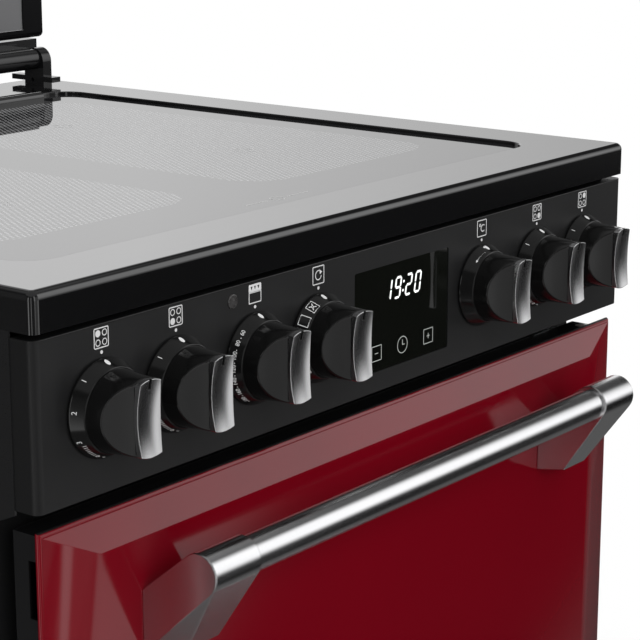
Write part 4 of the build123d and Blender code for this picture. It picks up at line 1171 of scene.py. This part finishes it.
def screw_ring_tree():
    """Cross-head screws spaced round an upright rectangle, with their heads towards the back."""
    bench, given = new_tree("screws_round_a_panel", [
        ("Width", "NodeSocketFloat", 0.5), ("Height", "NodeSocketFloat", 0.8),
        ("Middle", "NodeSocketVector", None), ("Head radius", "NodeSocketFloat", 0.004),
        ("Count", "NodeSocketInt", 16), ("Material", "NodeSocketMaterial", None)])

    def moved(geometry, **change):
        return bench.node("GeometryNodeTransform", inputs={"Geometry": geometry, **change})

    outline = bench.node("GeometryNodeCurvePrimitiveQuadrilateral",
                         inputs={"Width": given["Width"], "Height": given["Height"]})
    spots = bench.node("GeometryNodeCurveToPoints", {"mode": "COUNT"},
                       {"Curve": outline, "Count": given["Count"]})
    radius = given["Head radius"]
    ball = bench.node("GeometryNodeMeshUVSphere", inputs={"Segments": 20, "Rings": 10, "Radius": radius})
    head = moved(ball, Scale=(1.0, 1.0, 0.42))
    sides = {0: radius * 1.1, 1: radius * 0.22, 2: radius * 0.5}
    slot_size = bench.node("ShaderNodeCombineXYZ", inputs=sides)
    slot = bench.node("GeometryNodeMeshCube", inputs={"Size": slot_size})
    lift = bench.node("ShaderNodeCombineXYZ", inputs={2: radius * 0.45})
    for blade in (slot, moved(slot, Rotation=(0.0, 0.0, math.pi / 2))):
        cutter = moved(blade, Translation=lift)
        head = bench.node("GeometryNodeMeshBoolean", {"operation": "DIFFERENCE"}, {0: head, 1: cutter})
    heads = bench.node("GeometryNodeInstanceOnPoints", inputs={"Points": spots, "Instance": head})
    stood = moved(heads, Translation=given["Middle"], Rotation=(-math.pi / 2, 0.0, 0.0))
    return end_tree(bench, stood, given["Material"])


def skirt_marks_tree():
    """Short bars spaced along an arc of a knob's skirt and lying on its slope."""
    bench, given = new_tree("bars_on_a_skirt", [
        ("Count", "NodeSocketInt", 5), ("First angle", "NodeSocketFloat", 0.0),
        ("Last angle", "NodeSocketFloat", 1.0), ("Radius", "NodeSocketFloat", 0.025),
        ("Slope", "NodeSocketFloat", 0.5), ("Bar", "NodeSocketVector", None),
        ("Middle", "NodeSocketVector", None), ("Material", "NodeSocketMaterial", None)])
    line = bench.node("GeometryNodeMeshLine", inputs={"Count": given["Count"]})
    share = bench.node("GeometryNodeInputIndex") / (given["Count"] - 1)
    angle = given["First angle"] + (given["Last angle"] - given["First angle"]) * share
    aside, above = given["Radius"] * angle.sum("SINE", angle), given["Radius"] * angle.sum("COSINE", angle)
    spot = bench.node("ShaderNodeCombineXYZ", inputs={0: -aside, 1: 0.0, 2: above})
    points = bench.node("GeometryNodeSetPosition", inputs={"Geometry": line, "Position": spot})
    turn = bench.node("ShaderNodeCombineXYZ", inputs={0: given["Slope"], 1: -angle, 2: 0.0})
    one = bench.node("GeometryNodeMeshCube", inputs={"Size": given["Bar"]})
    bars = bench.node("GeometryNodeInstanceOnPoints",
                      inputs={"Points": points, "Instance": one, "Rotation": turn})
    placed = bench.node("GeometryNodeTransform", inputs={"Geometry": bars, "Translation": given["Middle"]})
    return end_tree(bench, placed, given["Material"])


# What the knobs' skirts show. Each function draws on a sheet for the knob at an X, and returns the row of
# bars that the skirt has as well, if any: count, first and last angle in degrees, and a bar's size in metres


def zone_skirt(sheet, x):
    """Figures 1 to 3 and a small ring."""
    for text, degrees in (("1", 43), ("2", 82), ("3", 120)):
        sheet.lay(lettering(text, 3.0), skirt_place(x, degrees, True), (0.0, 1.6))
    sheet.draw(ring_line(1.15, 0.4), skirt_place(x, 155.0))
    sheet.draw([ruled((-1.0, 0.0), (1.0, 0.0), 0.5)], skirt_place(x, 166, True))
    return 7, 127, 149, (0.0003, 0.0022, 0.0001)


def scale_skirt(sheet, x):
    """Figures 60 to 180."""
    figures = (("60", 42), ("80", 57), ("100", 73), ("120", 90), ("140", 107), ("160", 124), ("180", 141))
    for text, degrees in figures:
        sheet.lay(lettering(text, 2.5), skirt_place(x, degrees, True), (0.0, 0.6))
    return 7, 49.5, 149.5, (0.0005, 0.0005, 0.0001)


def selector_skirt(sheet, x):
    """Five outlined squares, plain, with a line or with a cross of small strokes about a ring."""
    corners = ((-1, -1), (1, 1), (-1, 1), (1, -1))
    strokes = [((su * 1.7, sv * 1.7), (su * 0.7, sv * 0.7)) for su, sv in corners]
    for inner, degrees in (("cross", 30), ("plain", 54), ("line", 78), ("cross", 102), ("line", 126)):
        place = skirt_place(x, degrees, True)
        for side in ruled_square(3.1, 0.4):
            sheet.draw([side], place)
        if inner == "cross":
            for start, end in strokes:
                sheet.draw([ruled(start, end, 0.5, 4)], place)
            sheet.draw(ring_line(0.9, 0.4, count=16), place)
        elif inner == "line":
            sheet.draw([ruled((-2.0, -1.6), (2.0, -1.6), 0.5)], place)
    return None


def arrow_skirt(sheet, x):
    """A long arrow along the rim and a dot."""
    place = skirt_place(x, 27.5, True)
    sheet.draw([ruled((-5.8, -1.4), (5.4, -1.8), 0.45)], place)
    sheet.draw([[(-6.4, -1.4), (-4.4, -0.7), (-4.4, -2.1)]], place)
    sheet.draw([ring(0.8)], skirt_place(x, 6), (-1.8, 0.0))
    return None


SKIRTS = (zone_skirt, zone_skirt, scale_skirt, selector_skirt, arrow_skirt, zone_skirt, zone_skirt)


# Operators, one for each piece or group of like pieces


class COOKER_OT_finishes(bpy.types.Operator):
    """Give every part of the frame its finish"""

    bl_idname = "cooker.finishes"
    bl_label = "Finishes"

    def execute(self, context):
        made = cooker_finishes(context.scene.cooker_colours, context.scene.cooker_sizes)
        slots = {part["node"]: part["material_slot"] for part in frame["record"]["subparts"]}
        slots["lid_frame"] = "lid_border"
        for name, node in frame["nodes"].items():
            node.data.materials.clear()
            node.data.materials.append(made[slots[name]])
        return {"FINISHED"}


class COOKER_OT_soft_edges(bpy.types.Operator):
    """Shape what the hand meets: knobs, grips, doors and handle ends, with rounded edges"""

    bl_idname = "cooker.soft_edges"
    bl_label = "Knobs and handles"

    def execute(self, context):
        # Painted shade: the groove cut in the metal grip, and the edges round it, get near-black plastic in
        # place of the shade in the slot.
        groove = moulded_plastic("grip_groove", [0.004, 0.004, 0.004], 0.4)
        # Painted light: the scoops get a lighter, rougher copy of the knob's black, since the front-left lamp
        # falls on them more than on the sides.
        scoop = moulded_plastic("knob_scoop", [0.02, 0.02, 0.02], 0.34)
        for knob, x in zip(KNOBS, KNOB_X):
            stand_in(knob, knob_body(x, knob + "_body"), [scoop])
            stand_in(knob + "_grip", knob_grip(x, knob + "_grip_rounded"), [groove])
        # Painted shade: the upward faces of each door skin get near-black plastic instead of the red,
        # standing in for the shade on the skin's top edge.
        top = moulded_plastic("door_top_edge", [0.006, 0.006, 0.006], 0.6)
        for door in ("top_door", "main_door"):
            mesh = eased_mesh(door + "_skin_rounded", merged_copy(door + "_skin"), 0.9, 12.0)
            # Faces that look up take the painted shade.
            for face in mesh.polygons:
                face.material_index = 1 if face.normal.z > 0.8 else 0
            stand_in(door + "_skin", mesh, [top])
            stand_in(door + "_handle_ends", handle_ends(door))
        return {"FINISHED"}


class COOKER_OT_panel_icons(bpy.types.Operator):
    """Print the icons and their dots above the knobs"""

    bl_idname = "cooker.panel_icons"
    bl_label = "Panel icons"

    def execute(self, context):
        sizes = context.scene.cooker_sizes
        size, line = sizes.icon_size * 1000, sizes.icon_line * 1000
        sheet = Print(sizes.print_thickness)
        empty_frame = [frame_line(size / 2, size / 2, line, ICON_CORNER)]
        marks = [four_rings(size, line, 0), four_rings(size, line, 2), grill_icon(size, line),
                 timer_icon(size, line), empty_frame, four_rings(size, line, 3), four_rings(size, line, 1)]
        places = [upright_place(x, PANEL_FACE_Y, HOB_TOP_Z - mm(ICON_DROP)) for x in KNOB_X]
        for place, drawn in zip(places, marks):
            for loops in drawn:
                sheet.draw(loops, place)
            sheet.draw([ring(1.0)], place, (0.0, ICON_DROP - DOT_DROP))
        in_frame = places[marks.index(empty_frame)]
        sheet.lay(lettering("C", 5.2), in_frame, (0.9, -0.1))
        sheet.draw(ring_line(1.1, 0.55, (-2.2, 2.2)), in_frame)
        ink = print_ink("panel_ink", context.scene.cooker_colours.print_white)
        finished_piece("panel_icons", sheet.finish("panel_icons"), "cooker", ink)
        return {"FINISHED"}


class COOKER_OT_skirt_marks(bpy.types.Operator):
    """Print the figures, pointers and bars on the knobs' skirts"""

    bl_idname = "cooker.skirt_marks"
    bl_label = "Skirt marks"

    def execute(self, context):
        sizes = context.scene.cooker_sizes
        ink = print_ink("skirt_ink", context.scene.cooker_colours.print_white)
        tree = skirt_marks_tree()
        slope = math.atan2(SKIRT_BACK[0] - SKIRT_FRONT[0], SKIRT_FRONT[1] - SKIRT_BACK[1])
        middle_r, middle_d = (SKIRT_BACK[0] + SKIRT_FRONT[0]) / 2, (SKIRT_BACK[1] + SKIRT_FRONT[1]) / 2
        for knob, x, skirt in zip(KNOBS, KNOB_X, SKIRTS):
            sheet = Print(sizes.print_thickness)
            pointer = [(2.2 * u, 1.35 * v) for u, v in ring(1.0)]
            sheet.draw([pointer], skirt_place(x, 2.0), (-0.7, 0.0))
            bars = skirt(sheet, x)
            finished_piece(knob + "_marks", sheet.finish(knob + "_marks"), knob, ink)
            if bars:
                count, first, last, size = bars
                mesh = repeat_mesh(knob + "_bars", tree, {
                    "Count": count, "First angle": math.radians(first), "Last angle": math.radians(last),
                    "Radius": mm(middle_r), "Slope": slope, "Bar": size,
                    "Middle": (x, KNOB_BACK_Y - mm(middle_d), KNOB_Z), "Material": ink})
                finished_piece(knob + "_bars", mesh, knob)
        return {"FINISHED"}


class COOKER_OT_clock(bpy.types.Operator):
    """Light the clock's figures and print the touch marks on its window"""

    bl_idname = "cooker.clock"
    bl_label = "Clock"

    def execute(self, context):
        sizes = context.scene.cooker_sizes
        self.light_figures(sizes)
        self.print_keys(sizes)
        return {"FINISHED"}

    def light_figures(self, sizes):
        """Four leaning figures and the colon between them."""
        height = sizes.clock_height * 1000
        lean = math.tan(math.radians(FIGURE_LEAN))
        base = upright_place(mm(CLOCK_X), WINDOW_FACE_Y, HOB_TOP_Z - mm(CLOCK_DROP))

        def leaning(u, v, h):
            return base(u + v * lean, v, h)

        sheet = Print(sizes.print_thickness)
        for figure, left in zip(sizes.clock_text, FIGURE_LEFT):
            for outline in seven_segments(figure, FIGURE_WIDTH, height, FIGURE_LINE):
                sheet.draw([outline], leaning, (left, 0.0))
        for v in (height * 0.3, height * 0.7):
            sheet.draw([ring(0.85)], leaning, (COLON_U, v))
        glow = print_ink("clock_light", (0.9, 0.92, 0.9), 0.6)
        finished_piece("clock_figures", sheet.finish("clock_figures"), "cooker", glow)

    def print_keys(self, sizes):
        """A minus and a plus in round-cornered frames, and a dial with two hands."""
        sheet = Print(sizes.print_thickness)
        place = upright_place(0.0, WINDOW_FACE_Y, HOB_TOP_Z - mm(TOUCH_DROP))
        for u in (MINUS_KEY_U, PLUS_KEY_U):
            sheet.draw(frame_line(5.3, 5.0, 0.45, 0.5, (u, 0.0)), place)
            sheet.draw([bar((u - 1.7, 0.0), (u + 1.7, 0.0), 0.5)], place)
        for end in (0.35, -1.8):
            sheet.draw([bar((PLUS_KEY_U, end), (PLUS_KEY_U, end + 1.45), 0.5)], place)
        dial = (DIAL_KEY_U, 0.0)
        sheet.draw(ring_line(5.6, 0.5, dial, 40), place)
        sheet.draw([bar(dial, (DIAL_KEY_U, 3.4), 0.55)], place)
        sheet.draw([bar((DIAL_KEY_U + 0.2, 0.0), (DIAL_KEY_U + 2.4, 0.0), 0.55)], place)
        ink = print_ink("touch_ink", (0.5, 0.52, 0.5), 0.05)
        finished_piece("touch_marks", sheet.finish("touch_marks"), "cooker", ink)


class COOKER_OT_hob_marks(bpy.types.Operator):
    """Print the zone marks on the hob's glass"""

    bl_idname = "cooker.hob_marks"
    bl_label = "Hob marks"

    def execute(self, context):
        sheet = Print(context.scene.cooker_sizes.print_thickness)
        ink = print_ink("zone_ink", (0.62, 0.62, 0.62))
        for x, y in ZONE_CROSSES:
            place = level_place(mm(x), mm(y), GLASS_Z)
            sheet.draw(ring_line(7.0, 0.5, count=40), place)
            for du, dv in ((1, 0), (-1, 0), (0, 1), (0, -1)):
                sheet.draw([bar((du * 3.5, dv * 3.5), (du * 10, dv * 10), 0.6)], place)
        place = level_place(mm(FRONT_MARK[0]), mm(FRONT_MARK[1]), GLASS_Z)
        sheet.draw(ring_line(5.0, 0.5, count=32), place)
        for side in (-1, 1):
            sheet.draw([bar((side * 9.0, 0.0), (side * 31.0, 0.0), 0.6)], place)
        finished_piece("zone_marks", sheet.finish("zone_marks"), "cooker", ink)
        return {"FINISHED"}


class COOKER_OT_panel_edge(bpy.types.Operator):
    """Round the panel's top edge with its rolled bead"""

    bl_idname = "cooker.panel_edge"
    bl_label = "Panel edge"

    def execute(self, context):
        data = bpy.data.curves.new("panel_edge", "CURVE")
        data.dimensions = "3D"
        data.bevel_depth = mm(BEAD_R)
        data.bevel_resolution = 3
        data.use_fill_caps = True
        corner, inset = mm(BEAD_CORNER), mm(BEAD_INSET)
        half, front, z = PANEL_HALF - inset, PANEL_FACE_Y + inset, PANEL_TOP_Z - mm(BEAD_DROP)
        points = [(-half, front + mm(BEAD_RETURN), z)]
        for i in range(9):
            angle = math.radians(90 * i / 8)
            points.append((-half + corner * (1 - math.cos(angle)), front + corner * (1 - math.sin(angle)), z))
        points += [(-x, y, z) for x, y, z in reversed(points)]
        spline = data.splines.new("POLY")
        spline.points.add(len(points) - 1)
        for point, at in zip(spline.points, points):
            point.co = (*at, 1)
        mesh = plain_mesh(bpy.data.objects.new("holder", data))
        mesh.shade_smooth()
        enamel = satin_enamel("panel_edge_enamel", context.scene.cooker_colours.panel_black, 0.3)
        finished_piece("panel_edge", mesh, "cooker", enamel)
        return {"FINISHED"}


class COOKER_OT_back_screws(bpy.types.Operator):
    """Set the screws round the back panel"""

    bl_idname = "cooker.back_screws"
    bl_label = "Back screws"

    def execute(self, context):
        sizes = context.scene.cooker_sizes
        low, high = BACK_Z
        mesh = repeat_mesh("back_screws", screw_ring_tree(), {
            "Width": SCREW_ROW_WIDTH, "Height": high - low - SCREW_ROW_MARGIN,
            "Middle": (0.0, BACK_Y, (low + high) / 2), "Head radius": sizes.screw_radius,
            "Count": sizes.screw_count, "Material": polished_metal("screw_steel", [0.55, 0.55, 0.56], 0.28)})
        finished_piece("back_screws", mesh, "cooker")
        return {"FINISHED"}


class COOKER_OT_stage(bpy.types.Operator):
    """Set up the floor, the surroundings, the lamps and the camera"""

    bl_idname = "cooker.stage"
    bl_label = "Stage"

    def execute(self, context):
        self.lay_floor(context.scene)
        for node in ("lid_glass", "lid_frame"):
            frame["nodes"][node].visible_glossy = False
        self.surround(context.scene)
        for lamp in LAMPS:
            self.hang_lamp(context.scene, *lamp)
        self.stand_camera(context.scene)
        context.scene.view_settings.view_transform = "Standard"
        return {"FINISHED"}

    def lay_floor(self, scene):
        """A pale floor that turns to plain white away from the cooker, for the camera alone."""
        mesh = bpy.data.meshes.new("floor")
        mesh.from_pydata([(-30, -30, 0), (30, -30, 0), (30, 30, 0), (-30, 30, 0)], [], [(0, 1, 2, 3)])
        floor = bpy.data.objects.new("floor", mesh)
        scene.collection.objects.link(floor)
        paint = Finish("floor_paint")
        x, y = paint.axes()[:2]
        away = (x ** 2.0 + y ** 2.0).root()
        tone = paint.noise(3.0) * 0.02 + 0.8
        grey = paint.node("ShaderNodeCombineColor", inputs={0: tone, 1: tone, 2: tone})
        lit = paint.node("ShaderNodeBsdfPrincipled", inputs={"Base Color": grey, "Roughness": 0.6})
        bright = paint.node("ShaderNodeEmission", inputs={"Color": (1, 1, 1, 1), "Strength": 1.0})
        fade = paint.node("ShaderNodeLightPath") * paint.ease(away, 0.55, 1.5)
        mixed = paint.node("ShaderNodeMixShader", inputs={0: fade, 1: lit, 2: bright})
        paint.node("ShaderNodeOutputMaterial", inputs={"Surface": mixed})
        mesh.materials.append(paint.material)
        floor.visible_glossy = False

    def surround(self, scene):
        """White for the camera and through glass, soft panels in a dark studio for gloss, and plain light."""
        world = bpy.data.worlds.new("studio")
        scene.world = world
        world.use_nodes = True
        world.node_tree.nodes.clear()
        sky = Studio(world.node_tree)
        ray = sky.node("ShaderNodeLightPath")
        seen = ray.most(ray.part("Is Transmission Ray"))
        glossy = ray.part("Is Glossy Ray")
        aside = sky.along(-math.sin(math.radians(40.0)), math.cos(math.radians(40.0)), 0.0)
        fall = (1.0 + aside * 1.25).most(0.78).least(1.06)
        shade = sky.panel(*FLOOR_SHADE)
        mirrored = (0.04 + 0.07 * sky.ease(sky.up, -0.15, -0.45)) * (1.0 - 0.9 * shade)
        mirrored = mirrored.most(sky.panel(*BACKDROP) * (0.38 + 4.6 * sky.up) * fall)
        mirrored = mirrored.most(0.3 * sky.ease(sky.up, 0.62, 0.74))
        for *place, level in PANELS.values():
            mirrored = mirrored.most(sky.panel(*place) * level)
        strength = seen + (1.0 - seen) * (glossy * mirrored + 0.55 * (1.0 - glossy))
        white = sky.node("ShaderNodeBackground", inputs={"Color": (1, 1, 1, 1), "Strength": strength})
        sky.node("ShaderNodeOutputWorld", inputs={"Surface": white})

    def hang_lamp(self, scene, name, place, aim, size, power):
        """A soft lamp that gloss doesn't show."""
        data = bpy.data.lights.new(name, "AREA")
        data.shape = "RECTANGLE"
        data.size, data.size_y = size
        data.energy = power
        lamp = bpy.data.objects.new(name, data)
        lamp.location = place
        lamp.rotation_euler = (Vector(aim) - Vector(place)).to_track_quat("-Z", "Y").to_euler()
        lamp.visible_glossy = False
        scene.collection.objects.link(lamp)

    def stand_camera(self, scene):
        """The camera at the photograph's place and angle."""
        data = bpy.data.cameras.new("camera")
        data.lens = CAMERA_LENS
        data.sensor_width = 36.0
        data.sensor_fit = "HORIZONTAL"
        data.clip_start, data.clip_end = 0.01, 100.0
        camera = bpy.data.objects.new("camera", data)
        camera.location = CAMERA_PLACE
        camera.rotation_euler = Vector(CAMERA_LOOK).to_track_quat("-Z", "Y").to_euler()
        scene.collection.objects.link(camera)
        scene.camera = camera


class COOKER_PT_panel(bpy.types.Panel):
    """The cooker's pieces and settings"""

    bl_idname = "COOKER_PT_panel"
    bl_label = "Cooker"
    bl_space_type = "VIEW_3D"
    bl_region_type = "UI"
    bl_category = "Cooker"

    def draw(self, context):
        layout = self.layout
        for group in (context.scene.cooker_colours, context.scene.cooker_sizes):
            box = layout.box()
            for key in group.__annotations__:
                box.prop(group, key)
        column = layout.column(align=True)
        for operator in OPERATORS:
            column.operator(operator.bl_idname)


OPERATORS = (
    COOKER_OT_finishes,
    COOKER_OT_soft_edges,
    COOKER_OT_panel_icons,
    COOKER_OT_skirt_marks,
    COOKER_OT_clock,
    COOKER_OT_hob_marks,
    COOKER_OT_panel_edge,
    COOKER_OT_back_screws,
    COOKER_OT_stage,
)
GROUPS = (CookerColours, CookerSizes)


def register():
    for cls in GROUPS + OPERATORS + (COOKER_PT_panel,):
        bpy.utils.register_class(cls)
    bpy.types.Scene.cooker_colours = PointerProperty(type=CookerColours)
    bpy.types.Scene.cooker_sizes = PointerProperty(type=CookerSizes)


def unregister():
    del bpy.types.Scene.cooker_colours
    del bpy.types.Scene.cooker_sizes
    for cls in reversed(GROUPS + OPERATORS + (COOKER_PT_panel,)):
        bpy.utils.unregister_class(cls)


def main():
    register()
    for operator in OPERATORS:
        category, name = operator.bl_idname.split(".")
        getattr(getattr(bpy.ops, category), name)()


if __name__ == "__main__":
    main()
